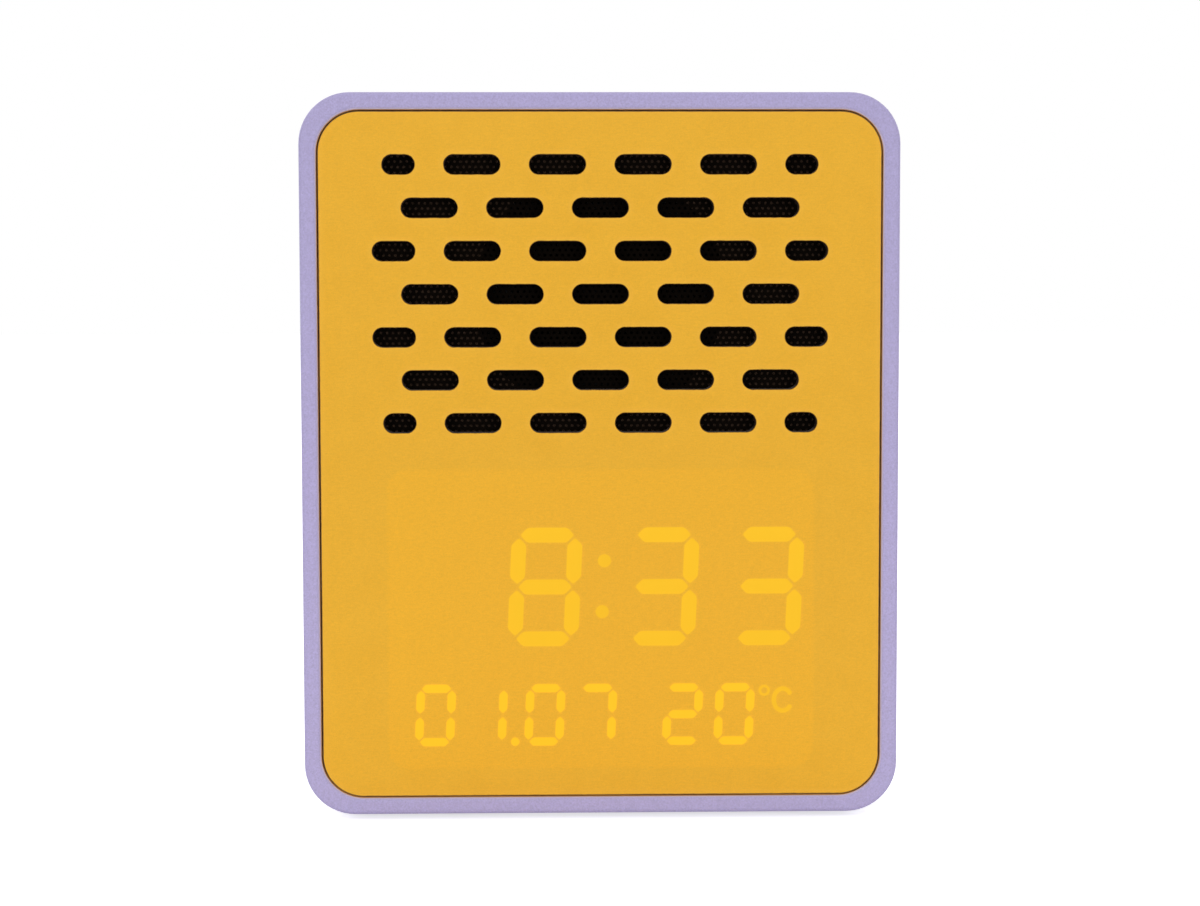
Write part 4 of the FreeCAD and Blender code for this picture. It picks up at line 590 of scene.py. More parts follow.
def makeBoard(name, face, wall, ash, rough):
    material, nodes = newFinish(name)
    place = nodes.place()
    fibre = nodes.noise(nodes.stretched(place, boardGrain["fibreStretch"]), *boardGrain["fibre"])
    soot = nodes.tint(wall, sootTone(nodes, place, boardGrain))
    # painted light: walls of the cuts that look up are lighter, as light falls on them from above
    soot = nodes.blend(nodes.step(nodes.normal()[2], *boardGrain["ashBand"]), soot, ash)
    face = nodes.tint(face, fibre.about(1, boardGrain["fibreSwing"]))
    rough = fibre.about(rough, boardGrain["roughSwing"])
    closeFinish(nodes, nodes.blend(facing(nodes), soot, face), rough, fibre, boardGrain["relief"],
                specular=boardGrain["specular"])
    return material


# Circuit boards, and the cloth of the loudspeaker's spider

circuit = {
    "lacquer": (0.015, 0.12, 0.045), "blotch": 0.6, "blotchSwing": 0.5, "rough": 0.3, "roughGrain": 3.0,
    "roughSwing": 0.1, "track": (0.03, 0.26, 0.09), "relief": 0.04, "offset": 0.37,
    "bricks": {"Scale": 0.35, "Mortar Size": 0.03, "Brick Width": 1.7, "Row Height": 0.5},
}
cloth = {"colour": (0.55, 0.33, 0.12), "threads": 12.0, "relief": 0.08,
         # at the foot of the weave, and what its height adds
         "tone": (0.7, 0.5), "rough": (0.6, 0.1)}


def makeCircuit():
    # copper tracks under green lacquer
    material, nodes = newFinish("circuitGreen")
    place = nodes.place()
    turned = nodes.add("ShaderNodeMapping", None, {"Vector": place, "Rotation": (math.pi / 2, 0, 0)})
    tracks = nodes.add("ShaderNodeTexBrick", {"offset": circuit["offset"]},
                       {"Vector": turned, "Color1": black, "Color2": black, "Mortar": white,
                        **circuit["bricks"]})
    blotch = nodes.noise(place, circuit["blotch"]).about(1, circuit["blotchSwing"])
    shade = nodes.blend(tracks, nodes.tint(circuit["lacquer"], blotch), circuit["track"])
    rough = nodes.noise(place, circuit["roughGrain"]).about(circuit["rough"], circuit["roughSwing"])
    closeFinish(nodes, shade, rough, tracks, circuit["relief"])
    return material


def makeCloth():
    # woven disc with resin, threads along x and z
    material, nodes = newFinish("resinCloth")
    x, y, z = nodes.axes(nodes.place())
    weave = nodes.math("SINE", x * cloth["threads"]) * nodes.math("SINE", z * cloth["threads"]) * 0.5 + 0.5
    (tone, toneRise), (rough, roughRise) = cloth["tone"], cloth["rough"]
    shade = nodes.tint(cloth["colour"], weave * toneRise + tone)
    closeFinish(nodes, shade, weave * roughRise + rough, weave, cloth["relief"])
    return material


# Even materials, with a grain of the given size in millimetres

evenGrain = {"detail": 4, "broad": (0.12, 2), "roughSwing": 0.2}
finishes = {
    # colour, roughness, grain size, mottle, relief
    "capPlastic": ((0.60, 0.56, 0.75), 0.45, 0.25, 0.04, 0.006),
    "markPlastic": ((0.30, 0.25, 0.47), 0.45, 0.25, 0.04, 0.006),
    "blackPlastic": ((0.018, 0.018, 0.019), 0.5, 0.3, 0.25, 0.012),
    "footRubber": ((0.022, 0.022, 0.023), 0.75, 0.22, 0.3, 0.03),
    "foamRing": ((0.02, 0.02, 0.02), 0.9, 0.5, 0.5, 0.08),
    "conePaper": ((0.032, 0.029, 0.026), 0.85, 0.5, 0.4, 0.05),
    "ferrite": ((0.045, 0.045, 0.05), 0.6, 0.35, 0.35, 0.02),
    "chipPlastic": ((0.015, 0.015, 0.016), 0.55, 0.2, 0.3, 0.01),
    "sensorResin": ((0.03, 0.02, 0.012), 0.3, 0.5, 0.3, 0.01),
    "milkGuide": ((0.62, 0.45, 0.20), 0.35, 0.5, 0.06, 0.005),
    "ribbonGrey": ((0.42, 0.42, 0.43), 0.45, 0.4, 0.1, 0.01),
    "redWire": ((0.42, 0.012, 0.012), 0.4, 0.5, 0.1, 0.01),
    "blackWire": ((0.015, 0.015, 0.015), 0.4, 0.5, 0.2, 0.01),
    # the same, with specular level and share of metal
    # black paint of the grille, darker, browner and duller than the paint itself: painted shade for where it lies
    # behind the slots
    "blackPaint": ((0.0034, 0.0018, 0.0008), 0.6, 0.4, 0.05, 0.01, 0.02, 0.0),
    # the same, with drawn direction
    "zincSteel": ((0.55, 0.55, 0.56), 0.34, 0.5, 0.12, 0.004, 0.5, 1.0, (1, 6, 1)),
    "nickel": ((0.66, 0.64, 0.60), 0.22, 0.6, 0.12, 0.004, 0.5, 1.0, (1, 1, 5)),
    "socketSteel": ((0.58, 0.58, 0.60), 0.28, 0.5, 0.12, 0.004, 0.5, 1.0, (1, 0.3, 1)),
    "basketSteel": ((0.20, 0.20, 0.21), 0.5, 0.4, 0.12, 0.004, 0.5, 1.0, (1, 1, 1)),
    "canMetal": ((0.62, 0.62, 0.63), 0.3, 0.6, 0.12, 0.004, 0.5, 1.0, (1, 1, 6)),
    "copper": ((0.72, 0.30, 0.13), 0.3, 0.3, 0.12, 0.004, 0.5, 1.0, (1, 8, 1)),
    "gold": ((0.86, 0.60, 0.22), 0.25, 0.4, 0.12, 0.004, 0.5, 1.0, (1, 1, 1)),
}
wornBy = {
    "lilacPlastic": ("shell", "back_cover", "battery_door"),
    "capPlastic": ("alarm_button", "set_button", "talk_button", "minus_button", "plus_button",
                   "voice_switch_knob"),
    "yellowSkin": ("front_veneer",),
    "frontFibreboard": ("front_board",),
    "baffleFibreboard": ("baffle",),
    "blackPlastic": ("display_block", "switch_bodies", "voice_switch_body", "ribbon_plugs",
                     "speaker_terminals", "alarm_plunger", "set_plunger", "talk_plunger",
                     "minus_plunger", "plus_plunger"),
    "blackPaint": ("speaker_mesh",),
    "footRubber": ("feet", "speaker_surround"),
    "foamRing": ("speaker_gasket",),
    "conePaper": ("speaker_cone", "dust_cap"),
    "ferrite": ("magnet",),
    "chipPlastic": ("clock_chip", "voice_chip"),
    "sensorResin": ("temperature_sensor",),
    "milkGuide": ("lit_segments", "dark_segments"),
    "ribbonGrey": ("display_ribbon",),
    "redWire": ("battery_lead_red", "speaker_lead_red"),
    "blackWire": ("battery_lead_black", "speaker_lead_black"),
    "zincSteel": ("baffle_screws", "display_screws", "speaker_screws", "main_board_screws", "back_screws"),
    "nickel": ("battery_springs", "battery_plates"),
    "socketSteel": ("power_socket",),
    "basketSteel": ("speaker_basket", "top_plate", "pole_yoke"),
    "canMetal": ("crystal", "capacitors"),
    "copper": ("voice_coil",),
    "circuitGreen": ("display_board", "main_board"),
    "resinCloth": ("spider",),
}
looks = {}


def makeEven(name, colour, rough, size, mottle, relief, specular=0.5, metal=0.0, stretch=(1, 1, 1)):
    material, nodes = newFinish(name)
    place = nodes.stretched(nodes.place(), stretch)
    fine = nodes.noise(place, 1 / size, evenGrain["detail"])
    broad = nodes.noise(place, *evenGrain["broad"])
    shade = nodes.tint(colour, 1 + (fine - 0.5) * mottle + (broad - 0.5) * mottle)
    rough = fine.about(rough, evenGrain["roughSwing"])
    closeFinish(nodes, shade, rough, fine, relief, metal, specular)
    return material


def makeFinishes():
    looks["lilacPlastic"] = makeLilac()
    looks["yellowSkin"] = makeSkin()
    for name, colours in boards.items():
        looks[name] = makeBoard(name, *colours)
    looks["circuitGreen"] = makeCircuit()
    looks["resinCloth"] = makeCloth()
    for name, facts in finishes.items():
        looks[name] = makeEven(name, *facts)
    for name, nodes in wornBy.items():
        for node in nodes:
            data = shown[node].data
            data.materials.clear()
            data.materials.append(looks[name])
    bare = [node for node in shown if not any(node in worn for worn in wornBy.values())]
    print("finishes:", len(looks), "nodes without one:", bare)


makeFinishes()


# Figures of light: a thin sheet on the skin that holds each point's distance to the lit bars

figures = {
    # millimetres; margin and kept are how far the grid and the finished sheet reach beyond what is lit
    "step": 0.18, "margin": 0.75, "kept": 0.6, "proud": 0.01, "lean": 0.0454,
    "large": {"width": 11.9, "height": 20.0, "stroke": 2.5, "lying": 0.12, "upright": 0.42, "foot": 29.55},
    "small": {"width": 6.6, "height": 10.47, "stroke": 1.4, "lying": 0.1, "upright": 0.28, "foot": 12.65},
    "text": {"large": ((-9.85, "8"), (9.77, "3"), (27.42, "3")),
             "small": ((-28.13, "0"), (-19.42, "1"), (-9.74, "0"), (-1.03, "7"), (13.48, "2"), (22.18, "0"))},
    "colon": (-0.08, 2.2, (0.29, 0.72)), "point": (-14.52, 1.4),    # x, width, shares of the large height
    "degree": (27.50, 21.87, 0.95, 0.42),                           # x, z, radius, stroke
    "unit": (30.62, 20.26, 1.5, 1.88, 0.38),                        # x, z, half width and height, stroke
    "unitArc": (40, 280, 24),                                       # start and sweep in degrees, steps
    "blunt": 0.08, "round": 0.12, "soft": 0.15, "haloReach": 0.58, "haloShare": 0.10,
    "colour": (0.80, 0.440, 0.016), "light": (0.19, 0.121, 0.0),
    "glow": {"large": 1.0, "small": 1.35, "colon": 0.82, "sign": 0.92},
}
barsOf = {"0": "abcdef", "1": "bc", "2": "abdeg", "3": "abcdg", "7": "abc", "8": "abcdefg"}


def barReach(u, v, half, stroke):
    # a bar along u with mitred tips; blunt and round soften its corners, in shares of the stroke
    corner = stroke * figures["round"]
    side = abs(v) - stroke / 2 + corner
    tip = (abs(u) + math.hypot(v, stroke * figures["blunt"]) - half) * math.sqrt(0.5) + corner
    return math.hypot(max(side, 0), max(tip, 0)) + min(max(side, tip), 0) - corner


def figureReach(letter, size, x, z):
    # distance from a point, upright and from the middle of the foot, to the nearest lit bar
    stroke, side = size["stroke"], (size["width"] - size["stroke"]) / 2
    low, middle, top = stroke / 2, size["height"] / 2, size["height"] - stroke / 2
    lying = {"a": top, "g": middle, "d": low}
    upright = {"b": (side, middle, top), "c": (side, low, middle),
               "e": (-side, low, middle), "f": (-side, middle, top)}
    reaches = []
    for bar in barsOf[letter]:
        if bar in lying:
            reaches.append(barReach(x, z - lying[bar], side - size["lying"], stroke))
        else:
            at, foot, head = upright[bar]
            half = (head - foot) / 2 - size["upright"]
            reaches.append(barReach(z - (foot + head) / 2, x - at, half, stroke))
    return min(reaches)


def figurePatches():
    # a patch is its left, right, foot and head, the distance from a point to what is lit, and its glow
    patches = []
    for kind, text in figures["text"].items():
        size = figures[kind]
        foot, head = size["foot"], size["foot"] + size["height"]
        for x, letter in text:
            def reach(px, pz, x=x, letter=letter, size=size):
                up = pz - size["foot"]
                return figureReach(letter, size, px - x - figures["lean"] * up, up)
            left, right = x - size["width"] / 2, x + size["width"] / 2 + figures["lean"] * size["height"]
            patches.append((left, right, foot, head, reach, figures["glow"][kind]))
    return patches


def dotPatches():
    # colon and point are discs, the degree sign is a ring
    glow, large = figures["glow"], figures["large"]
    x, across, shares = figures["colon"]
    dots = []
    for rise in [share * large["height"] for share in shares]:
        dots.append((x + figures["lean"] * rise, large["foot"] + rise, across / 2, across / 2, glow["colon"]))
    x, across = figures["point"]
    dots.append((x, figures["small"]["foot"] + across / 2, across / 2, across / 2, glow["small"]))
    dots.append((*figures["degree"], glow["sign"]))
    patches = []
    for x, z, radius, stroke, shine in dots:
        def reach(px, pz, x=x, z=z, radius=radius, stroke=stroke):
            away = math.hypot(px - x, pz - z)
            return max(away - radius, radius - stroke - away) if stroke < radius else away - radius
        patches.append((x - radius, x + radius, z - radius, z + radius, reach, shine))
    return patches


def unitPatch():
    # the unit is an open arc of round spots
    x, z, halfWidth, halfHeight, stroke = figures["unit"]
    start, sweep, count = figures["unitArc"]
    turns = [math.radians(start + sweep * step / count) for step in range(count + 1)]
    arc = [(x + halfWidth * math.cos(turn), z + halfHeight * math.sin(turn)) for turn in turns]

    def reach(px, pz):
        return min(math.hypot(px - ax, pz - az) for ax, az in arc) - stroke
    return x - halfWidth, x + halfWidth, z - halfHeight, z + halfHeight, reach, figures["glow"]["sign"]


def sheetForm(patches):
    # a grid over the patches, kept where it is near enough to what is lit
    step, margin = figures["step"], figures["margin"]
    nearest = {}
    for left, right, foot, head, reach, shine in patches:
        for column in range(math.floor((left - margin) / step), math.ceil((right + margin) / step) + 1):
            for row in range(math.floor((foot - margin) / step), math.ceil((head + margin) / step) + 1):
                here = (reach(column * step, row * step), shine)
                nearest[column, row] = min(nearest.get((column, row), here), here)
    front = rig.box("front_veneer")[0].y - figures["proud"] * mm
    form = bmesh.new()
    reachLayer = form.verts.layers.float.new("reach")
    glowLayer = form.verts.layers.float.new("glow")
    grid = {}
    for (column, row), (away, shine) in nearest.items():
        if away < figures["kept"]:
            corner = form.verts.new((column * step * mm, front, row * step * mm))
            corner[reachLayer], corner[glowLayer] = away, shine
            grid[column, row] = corner
    for (column, row), corner in grid.items():
        others = [grid.get((column + 1, row)), grid.get((column + 1, row + 1)), grid.get((column, row + 1))]
        if all(others):
            form.faces.new((corner, *others))
    loose = [corner for corner in form.verts if not corner.link_faces]
    bmesh.ops.delete(form, geom=loose, context="VERTS")
    return form


def makeFigureLight():
    material, nodes = newFinish("figureLight")
    shade, relief = skinColour(nodes, nodes.place())
    away = nodes.add("ShaderNodeAttribute", {"attribute_name": "reach"}, out="Fac")
    shine = nodes.add("ShaderNodeAttribute", {"attribute_name": "glow"}, out="Fac")
    lit = 1 - nodes.step(away, -figures["soft"], figures["soft"])
    halo = (1 - nodes.step(away, 0.0, figures["haloReach"])) * figures["haloShare"]
    shade = nodes.blend(lit, shade, figures["colour"])
    light = nodes.tint(nodes.blend(lit + halo, (0, 0, 0), figures["light"]), shine)
    closeSkin(nodes, shade, relief, emission=light)
    return material


def makeFigures():
    sheet = finishMesh("litFigures", sheetForm([*figurePatches(), *dotPatches(), unitPatch()]))
    sheet.data.materials.append(makeFigureLight())
    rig.slot(sheet, "light_guide")
    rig.ride(sheet, "case")
    print("figures:", len(sheet.data.polygons), "faces")


makeFigures()


# Pieces grown by node trees

def growPiece(name, build, sizes, material, points=((0, 0, 0),)):
    # build(nodes, wires) returns the geometry of a tree whose inputs are the named sizes
    tree = bpy.data.node_groups.new(name + "Tree", "GeometryNodeTree")
    tree.interface.new_socket("Points", in_out="INPUT", socket_type="NodeSocketGeometry")
    for label, value in sizes.items():
        kind = "NodeSocketVector" if isinstance(value, tuple) else "NodeSocketFloat"
        tree.interface.new_socket(label, in_out="INPUT", socket_type=kind)
    tree.interface.new_socket("Finish", in_out="INPUT", socket_type="NodeSocketMaterial")
    tree.interface.new_socket("Piece", in_out="OUTPUT", socket_type="NodeSocketGeometry")
    nodes = Nodes(tree)
    start = tree.nodes.new("NodeGroupInput")
    wires = {socket.name: Wire(nodes, socket) for socket in start.outputs if socket.name}
    grown = nodes.add("GeometryNodeRealizeInstances", None, {"Geometry": build(nodes, wires)})
    grown = nodes.add("GeometryNodeSetMaterial", None, {"Geometry": grown, "Material": wires["Finish"]})
    end = tree.nodes.new("NodeGroupOutput")
    tree.links.new(grown.socket, end.inputs[0])
    seedMesh = bpy.data.meshes.new(name + "Points")
    seedMesh.from_pydata([Vector(point) for point in points], [], [])
    seed = addObject(name + "Points", seedMesh)
    modifier = seed.modifiers.new("tree", "NODES")
    modifier.node_group = tree
    values = {**sizes, "Finish": material}
    for item in tree.interface.items_tree:
        if item.in_out == "INPUT" and item.name in values:
            modifier[item.identifier] = values[item.name]
    bpy.context.view_layer.update()
    mesh = bpy.data.meshes.new_from_object(seed.evaluated_get(bpy.context.evaluated_depsgraph_get()))
    mesh.name = name
    piece = addObject(name, mesh)
    bpy.data.objects.remove(seed)
    print(name + ":", len(mesh.polygons), "faces")
    return piece


def inputsOf(values):
    # the entries with a capital are inputs of the tree
    return {label: value for label, value in values.items() if label[0].isupper()}


def pointRow(nodes, count, start, step):
    return nodes.add("GeometryNodeMeshLine", None, {"Count": count, "Start Location": start, "Offset": step})


def join(nodes, *parts):
    return nodes.add("GeometryNodeJoinGeometry", None, {"Geometry": list(parts)})


def move(nodes, part, there, turn=(0.0, 0.0, 0.0)):
    return nodes.add("GeometryNodeTransform", None,
                     {"Geometry": part, "Translation": there, "Rotation": turn})


def shift(nodes, part, x=0.0, y=0.0, z=0.0, turn=(0.0, 0.0, 0.0)):
    return move(nodes, part, nodes.vector(x, y, z), turn)


def sweep(nodes, path, section):
    return nodes.add("GeometryNodeCurveToMesh", None,
                     {"Curve": path, "Profile Curve": section, "Fill Caps": True})


def circle(nodes, corners, radius):
    return nodes.add("GeometryNodeCurvePrimitiveCircle", {"mode": "RADIUS"},
                     {"Resolution": corners, "Radius": radius})


def scatter(nodes, points, piece, turn=(0.0, 0.0, 0.0)):
    return nodes.add("GeometryNodeInstanceOnPoints", None,
                     {"Points": points, "Instance": piece, "Rotation": turn})


# Perforated mesh behind the slots

grille = {
    "Pitch": 1.0 * mm, "Hole": 0.52 * mm, "Corners": 8.0, "Weld": 0.005 * mm,
    # cells left out at the sides, and pairs of rows left out at the ends
    "Side margin": 0.5, "End margin": 0.2,
}


def buildGrille(nodes, wires):
    pitch, hole = wires["Pitch"], wires["Hole"]
    rise = pitch * math.sqrt(0.75)
    # a cell is a hexagon with a round hole; cells stand in two grids, half a pitch apart
    hexagon = shift(nodes, circle(nodes, 6, pitch / math.sqrt(3)), turn=(0, 0, math.pi / 6))
    rim = circle(nodes, wires["Corners"], hole / 2)
    face = nodes.add("GeometryNodeFillCurve", {"mode": "TRIANGLES"}, {"Curve": join(nodes, hexagon, rim)})
    wall = nodes.add("GeometryNodeMeshCylinder", {"fill_type": "NONE"},
                     {"Vertices": wires["Corners"], "Radius": hole / 2, "Depth": wires["Thickness"]})
    wall = nodes.add("GeometryNodeFlipFaces", None, {"Mesh": wall})
    cell = join(nodes, face, shift(nodes, wall, z=wires["Thickness"] / -2))
    columns = nodes.math("FLOOR", wires["Width"] / pitch - wires["Side margin"])
    rows = nodes.math("FLOOR", wires["Height"] / rise / 2 - wires["End margin"])
    grid = nodes.add("GeometryNodeMeshGrid", None,
                     {"Size X": (columns - 1) * pitch, "Size Y": (rows - 1) * rise * 2,
                      "Vertices X": columns, "Vertices Y": rows})
    both = join(nodes, shift(nodes, grid, x=pitch / -4, y=rise / -2),
                shift(nodes, grid, x=pitch / 4, y=rise / 2))
    whole = nodes.add("GeometryNodeRealizeInstances", None, {"Geometry": scatter(nodes, both, cell)})
    whole = nodes.add("GeometryNodeMergeByDistance", None, {"Geometry": whole, "Distance": wires["Weld"]})
    return move(nodes, whole, wires["Middle"], (math.pi / 2, 0, 0))


def makeGrille():
    low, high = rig.box("speaker_mesh")
    sizes = {**grille, "Width": high.x - low.x, "Height": high.z - low.z, "Thickness": high.y - low.y,
             "Middle": ((low.x + high.x) / 2, low.y, (low.z + high.z) / 2)}
    piece = growPiece("grilleMesh", buildGrille, sizes, looks["blackPaint"])
    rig.replaces(piece, "speaker_mesh")
    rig.slot(piece, "black_mesh")
    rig.ride(piece, "case")


makeGrille()


# Surround and spider of the loudspeaker: turned rings in wedges, so that each bends from case to cone

softRings = {
    "wedges": 12, "steps": 6, "smooth": 50,
    "surround": {"node": "speaker_surround", "slot": "surround_rubber", "look": "footRubber",
                 "hold": 19.3, "follow": 15.9, "lips": (21.1, 14.9), "sheet": 0.4,
                 "roll": (18.0, 2.0), "rollSteps": 14},
    "spider": {"node": "spider", "slot": "spider_cloth", "look": "resinCloth",
               "hold": 15.6, "follow": 7.3, "lips": (16.4, 7.1), "sheet": 0.3,
               "waves": (13.9, 7.6, 4), "waveSteps": 10, "rise": 0.5},
}


def surroundSection():
    # radius and height over the glued face, in millimetres: two lips and a half roll between them
    facts = softRings["surround"]
    (outer, inner), (middle, radius), sheet = facts["lips"], facts["roll"], facts["sheet"]
    turns = [math.pi * step / facts["rollSteps"] for step in range(facts["rollSteps"] + 1)]
    front = [(middle + radius * math.cos(turn), sheet + radius * math.sin(turn)) for turn in turns]
    thin = radius - sheet
    back = [(middle + thin * math.cos(turn), sheet + thin * math.sin(turn)) for turn in reversed(turns)]
    return [(outer, 0), (outer, sheet), *front, (inner, sheet), (inner, 0),
            (middle - thin, 0), *back, (middle + thin, 0)]


def spiderSection():
    # a cloth disc with round waves between its glued rims
    facts = softRings["spider"]
    (outer, inner), (start, stop, waves) = facts["lips"], facts["waves"]
    ripple, count = [], waves * facts["waveSteps"]
    for step in range(count + 1):
        share = step / count
        swell = (1 - math.cos(2 * math.pi * waves * share)) / 2
        ripple.append((start + (stop - start) * share, facts["rise"] * swell))
    back = [(outer, 0), *ripple, (inner, 0)]
    return back + [(radius, up + facts["sheet"]) for radius, up in reversed(back)]


def makeSoftRing(kind, section):
    facts, count, steps = softRings[kind], softRings["wedges"], softRings["steps"]
    low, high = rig.box(facts["node"])
    middle = Vector(((low.x + high.x) / 2, high.y, (low.z + high.z) / 2))
    for number in range(count):
        form = bmesh.new()
        loops = []
        for step in range(steps + 1):
            turn = 2 * math.pi / count * (number - 0.5 + step / steps)
            across, along = math.cos(turn), math.sin(turn)
            spots = [Vector((radius * across, -up, radius * along)) for radius, up in section]
            loops.append([form.verts.new(middle + spot * mm) for spot in spots])
        for first, second in zip(loops, loops[1:]):
            for index in range(len(section)):
                form.faces.new((first[index - 1], first[index], second[index], second[index - 1]))
        form.faces.new(loops[0])
        form.faces.new(list(reversed(loops[-1])))
        bmesh.ops.recalc_face_normals(form, faces=form.faces)
        piece = finishMesh(f"{kind}Wedge{number + 1:02d}", form, softRings["smooth"])
        piece.data.materials.append(looks[facts["look"]])
        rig.replaces(piece, facts["node"])
        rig.slot(piece, facts["slot"])
        turn = 2 * math.pi / count * number
        away = Vector((math.cos(turn), 0, math.sin(turn))) * mm
        hold, follow = middle + away * facts["hold"], middle + away * facts["follow"]
        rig.blend(piece, "case", "cone", start=hold, end=follow)
    print(kind + ":", count, "wedges")


makeSoftRing("surround", surroundSection())
makeSoftRing("spider", spiderSection())


# Cover screws: bevelled heads with a cross recess

screws = {
    "Radius": 2.1 * mm, "Head": 1.4 * mm, "Bevel": 0.35 * mm, "Shank": 0.95 * mm, "Shank length": 9.0 * mm,
    "Cross": 2.5 * mm, "Cross width": 0.62 * mm, "Cross depth": 0.9 * mm,
    "Sides": 40.0, "Shank sides": 20.0, "Largest turn": 6.28,
    "inset": 2.2 * mm,    # from the corner of the four to the axis of a screw
}


def buildScrews(nodes, wires):
    radius, bevel = wires["Radius"], wires["Bevel"]
    crown = nodes.add("GeometryNodeMeshCone", None,
                      {"Vertices": wires["Sides"], "Radius Top": radius - bevel, "Radius Bottom": radius,
                       "Depth": bevel})
    crown = shift(nodes, crown, z=bevel * -1)
    barrel = nodes.add("GeometryNodeMeshCylinder", None,
                       {"Vertices": wires["Sides"], "Radius": radius, "Depth": wires["Head"] - bevel})
    barrel = shift(nodes, barrel, z=(wires["Head"] + bevel) / -2)
    head = nodes.add("GeometryNodeMeshBoolean", {"operation": "UNION"}, {"Mesh 2": [crown, barrel]})
    size = nodes.vector(wires["Cross"], wires["Cross width"], wires["Cross depth"] * 2)
    bar = nodes.add("GeometryNodeMeshCube", None, {"Size": size})
    for turned in (0.0, math.pi / 2):
        head = nodes.add("GeometryNodeMeshBoolean", {"operation": "DIFFERENCE"},
                         {"Mesh 1": head, "Mesh 2": shift(nodes, bar, turn=(0, 0, turned))})
    shank = nodes.add("GeometryNodeMeshCylinder", None,
                      {"Vertices": wires["Shank sides"], "Radius": wires["Shank"],
                       "Depth": wires["Shank length"]})
    shank = shift(nodes, shank, z=wires["Shank length"] / -2 - wires["Head"])
    screw = join(nodes, head, shank)
    turn = nodes.add("FunctionNodeRandomValue", {"data_type": "FLOAT"},
                     {2: 0.0, 3: wires["Largest turn"], "Seed": 4}, out=1)
    return scatter(nodes, wires["Points"], screw, nodes.vector(-math.pi / 2, turn))


def makeCoverScrews():
    low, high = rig.box("back_screws")
    inset = screws["inset"]
    points = [(x, high.y, z) for x in (low.x + inset, high.x - inset)
              for z in (low.z + inset, high.z - inset)]
    piece = growPiece("coverScrews", buildScrews, inputsOf(screws), looks["zincSteel"], points)
    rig.replaces(piece, "back_screws")
    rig.slot(piece, "screw_steel")
    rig.ride(piece, "case")


makeCoverScrews()


# Ribs in rows: grip of the battery door, thumb ribs of the slider

ribRows = {
    # drop is how far the lowest rib of the grip lies below the top of the door
    "doorGrip": {"body": "battery_door", "slot": "lilac_cover", "look": "lilacPlastic", "drop": 16.5 * mm,
                 "Length": 12.0 * mm, "Across": 0.9 * mm, "Proud": 0.45 * mm, "Sides": 16.0,
                 "Count": 5, "Pitch": 1.9 * mm},
    "sliderRibs": {"body": "voice_switch", "slot": "button_plastic", "look": "capPlastic",
                   "Length": 2.4 * mm, "Across": 0.34 * mm, "Proud": 0.16 * mm, "Sides": 16.0,
                   "Count": 4, "Pitch": 0.6 * mm},
}


def buildRibs(nodes, wires):
    # flat ovals half sunk in the face, one above the other
    half = wires["Length"] / 2
    line = nodes.add("GeometryNodeCurvePrimitiveLine", None,
                     {"Start": nodes.vector(half * -1), "End": nodes.vector(half)})
    rib = sweep(nodes, line, circle(nodes, wires["Sides"], wires["Across"] / 2))
    flat = nodes.vector(1.0, wires["Proud"] / wires["Across"] * 2, 1.0)
    rib = nodes.add("GeometryNodeTransform", None, {"Geometry": rib, "Scale": flat})
    rows = pointRow(nodes, wires["Count"], wires["First"], nodes.vector(z=wires["Pitch"]))
    return scatter(nodes, rows, rib)


def makeRibs():
    low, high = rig.box("battery_door")
    starts = {"doorGrip": (0.0, high.y, high.z - ribRows["doorGrip"]["drop"])}
    low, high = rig.box("voice_switch_knob")
    span = ribRows["sliderRibs"]["Pitch"] * (ribRows["sliderRibs"]["Count"] - 1) / 2
    starts["sliderRibs"] = ((low.x + high.x) / 2, high.y, (low.z + high.z) / 2 - span)
    for name, row in ribRows.items():
        piece = growPiece(name, buildRibs, {**inputsOf(row), "First": starts[name]}, looks[row["look"]])
        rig.slot(piece, row["slot"])
        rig.ride(piece, row["body"])


makeRibs()


# Power socket: black tongue over the steel one, with gold pads on both faces

socketTongue = {
    "Width": 6.7 * mm, "Height": 0.9 * mm, "Reach": 4.6 * mm, "Edge": 0.3 * mm, "Edge steps": 4.0,
    "recess": 0.65 * mm,    # from the mouth of the socket to the tip of the tongue
}
socketPads = {
    "Count": 12, "Pitch": 0.5 * mm, "Pad width": 0.26 * mm, "Pad length": 3.2 * mm, "Pad height": 0.06 * mm,
    "recess": 0.5 * mm,    # from the tip of the tongue to the pads
}


def buildTongue(nodes, wires):
    # a slab with rounded edges, grown along the socket
    width, height, edge = wires["Width"], wires["Height"], wires["Edge"]
    outline = nodes.add("GeometryNodeCurvePrimitiveQuadrilateral", None, {"Width": width, "Height": height})
    outline = nodes.add("GeometryNodeFilletCurve", {"mode": "POLY"},
                        {"Curve": outline, "Radius": edge, "Count": wires["Edge steps"]})
    path = nodes.add("GeometryNodeCurvePrimitiveLine", None,
                     {"Start": (0, 0, 0), "End": nodes.vector(z=wires["Reach"])})
    return move(nodes, sweep(nodes, path, outline), wires["Root"], (-math.pi / 2, 0, 0))


def buildPads(nodes, wires):
    # two rows of thin bars, half sunk in both faces of the tongue
    size = nodes.vector(wires["Pad width"], wires["Pad length"], wires["Pad height"] * 2)
    pad = nodes.add("GeometryNodeMeshCube", None, {"Size": size})
    start = nodes.vector((wires["Count"] - 1) * wires["Pitch"] / -2)
    row = pointRow(nodes, wires["Count"], start, nodes.vector(wires["Pitch"]))
    half = wires["Height"] / 2
    rows = join(nodes, shift(nodes, row, z=half), shift(nodes, row, z=half * -1))
    return move(nodes, scatter(nodes, rows, pad), wires["Middle"])


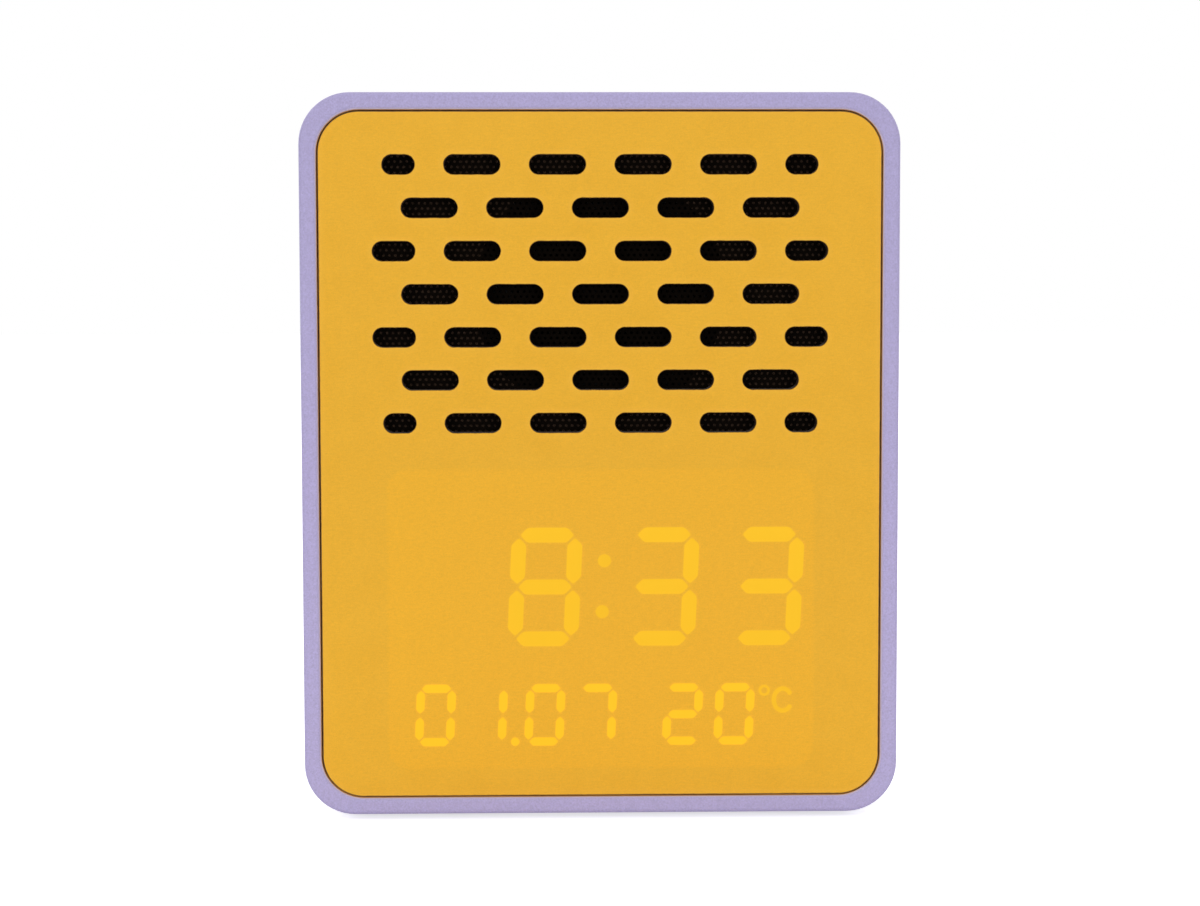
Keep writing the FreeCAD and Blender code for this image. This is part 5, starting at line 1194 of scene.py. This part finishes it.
def makeSocket():
    low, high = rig.box("power_socket")
    x, z = (low.x + high.x) / 2, (low.z + high.z) / 2
    front = high.y - socketTongue["recess"]
    root = (x, front - socketTongue["Reach"], z)
    sizes = {**inputsOf(socketTongue), "Root": root}
    piece = growPiece("socketTongue", buildTongue, sizes, looks["blackPlastic"])
    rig.slot(piece, "black_plastic")
    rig.ride(piece, "case")
    middle = (x, front - socketPads["recess"] - socketPads["Pad length"] / 2, z)
    sizes = {**inputsOf(socketPads), "Height": socketTongue["Height"], "Middle": middle}
    piece = growPiece("socketPads", buildPads, sizes, looks["gold"])
    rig.slot(piece, "contact_nickel")
    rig.ride(piece, "case")


makeSocket()


# Raised marks on the button caps and on the floor of the battery bay, in millimetres

markLine = {"radius": 0.24, "corners": 3, "smooth": 40, "look": "markPlastic"}
bayMarks = {"floor": 10.2, "reach": 17.0, "rows": (19.4, 30.6, 41.8), "springSides": (1, -1, 1)}
capMarks = {
    # a bell, three bars, waves of sound, minus and plus
    "alarm": [[(-1.5, -0.95), (-1.05, -0.45), (-0.95, 0.55), (-0.55, 1.2), (0.0, 1.45), (0.55, 1.2),
               (0.95, 0.55), (1.05, -0.45), (1.5, -0.95), (-1.5, -0.95)],
              [(-0.3, -1.55), (0.3, -1.55)]],
    "set": [[(-1.3, z), (1.3, z)] for z in (0.95, 0.0, -0.95)],
    "talk": [[(reach * math.cos(turn) - 1.0, reach * math.sin(turn))
              for turn in [math.radians(step * 10) for step in range(-5, 6)]] for reach in (0.6, 1.5, 2.4)],
    "minus": [[(-1.4, 0.0), (1.4, 0.0)]],
    "plus": [[(-1.4, 0.0), (1.4, 0.0)], [(0.0, -1.4), (0.0, 1.4)]],
}


def makeMark(name, lines, place, slot, body):
    # round bars along the lines, half sunk in a face that looks backwards; x grows to the viewer's right
    curve = bpy.data.curves.new(name, "CURVE")
    curve.dimensions = "3D"
    curve.bevel_depth, curve.bevel_resolution = markLine["radius"] * mm, markLine["corners"]
    curve.use_fill_caps = True
    for line in lines:
        spline = curve.splines.new("POLY")
        closed = line[0] == line[-1]
        ends = line[:-1] if closed else line
        spline.points.add(len(ends) - 1)
        spline.use_cyclic_u = closed
        for point, (x, z) in zip(spline.points, ends):
            point.co = (place[0] - x * mm, place[1], place[2] + z * mm, 1)
    drawn = addObject(name + "Lines", curve)
    mesh = bpy.data.meshes.new_from_object(drawn.evaluated_get(bpy.context.evaluated_depsgraph_get()))
    bpy.data.objects.remove(drawn)
    form = bmesh.new()
    form.from_mesh(mesh)
    bmesh.ops.recalc_face_normals(form, faces=form.faces)
    piece = finishMesh(name, form, markLine["smooth"])
    piece.data.materials.append(looks[markLine["look"]])
    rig.slot(piece, slot)
    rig.ride(piece, body)


def makeMarks():
    # a plus and a minus beside each cell, then a mark on each cap
    signs = []
    for z, side in zip(bayMarks["rows"], bayMarks["springSides"]):
        for sign, x in (("plus", side * bayMarks["reach"]), ("minus", -side * bayMarks["reach"])):
            signs += [[(x + across, z + up) for across, up in line] for line in capMarks[sign]]
    makeMark("bayMarks", signs, (0.0, bayMarks["floor"] * mm, 0.0), "lilac_cover", "case")
    for name, lines in capMarks.items():
        low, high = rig.box(name + "_button")
        place = ((low.x + high.x) / 2, high.y, (low.z + high.z) / 2)
        makeMark(name + "Mark", lines, place, "button_plastic", name + "_button")
    print("marks:", len(capMarks), "on caps,", len(signs), "lines in the bay")


makeMarks()


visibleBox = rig.bounds()
with open("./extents.json", "w") as sizes:
    json.dump({"cad": [list(corner) for corner in solidBox], "scene": [list(corner) for corner in visibleBox]}, sizes)
print("pieces done")
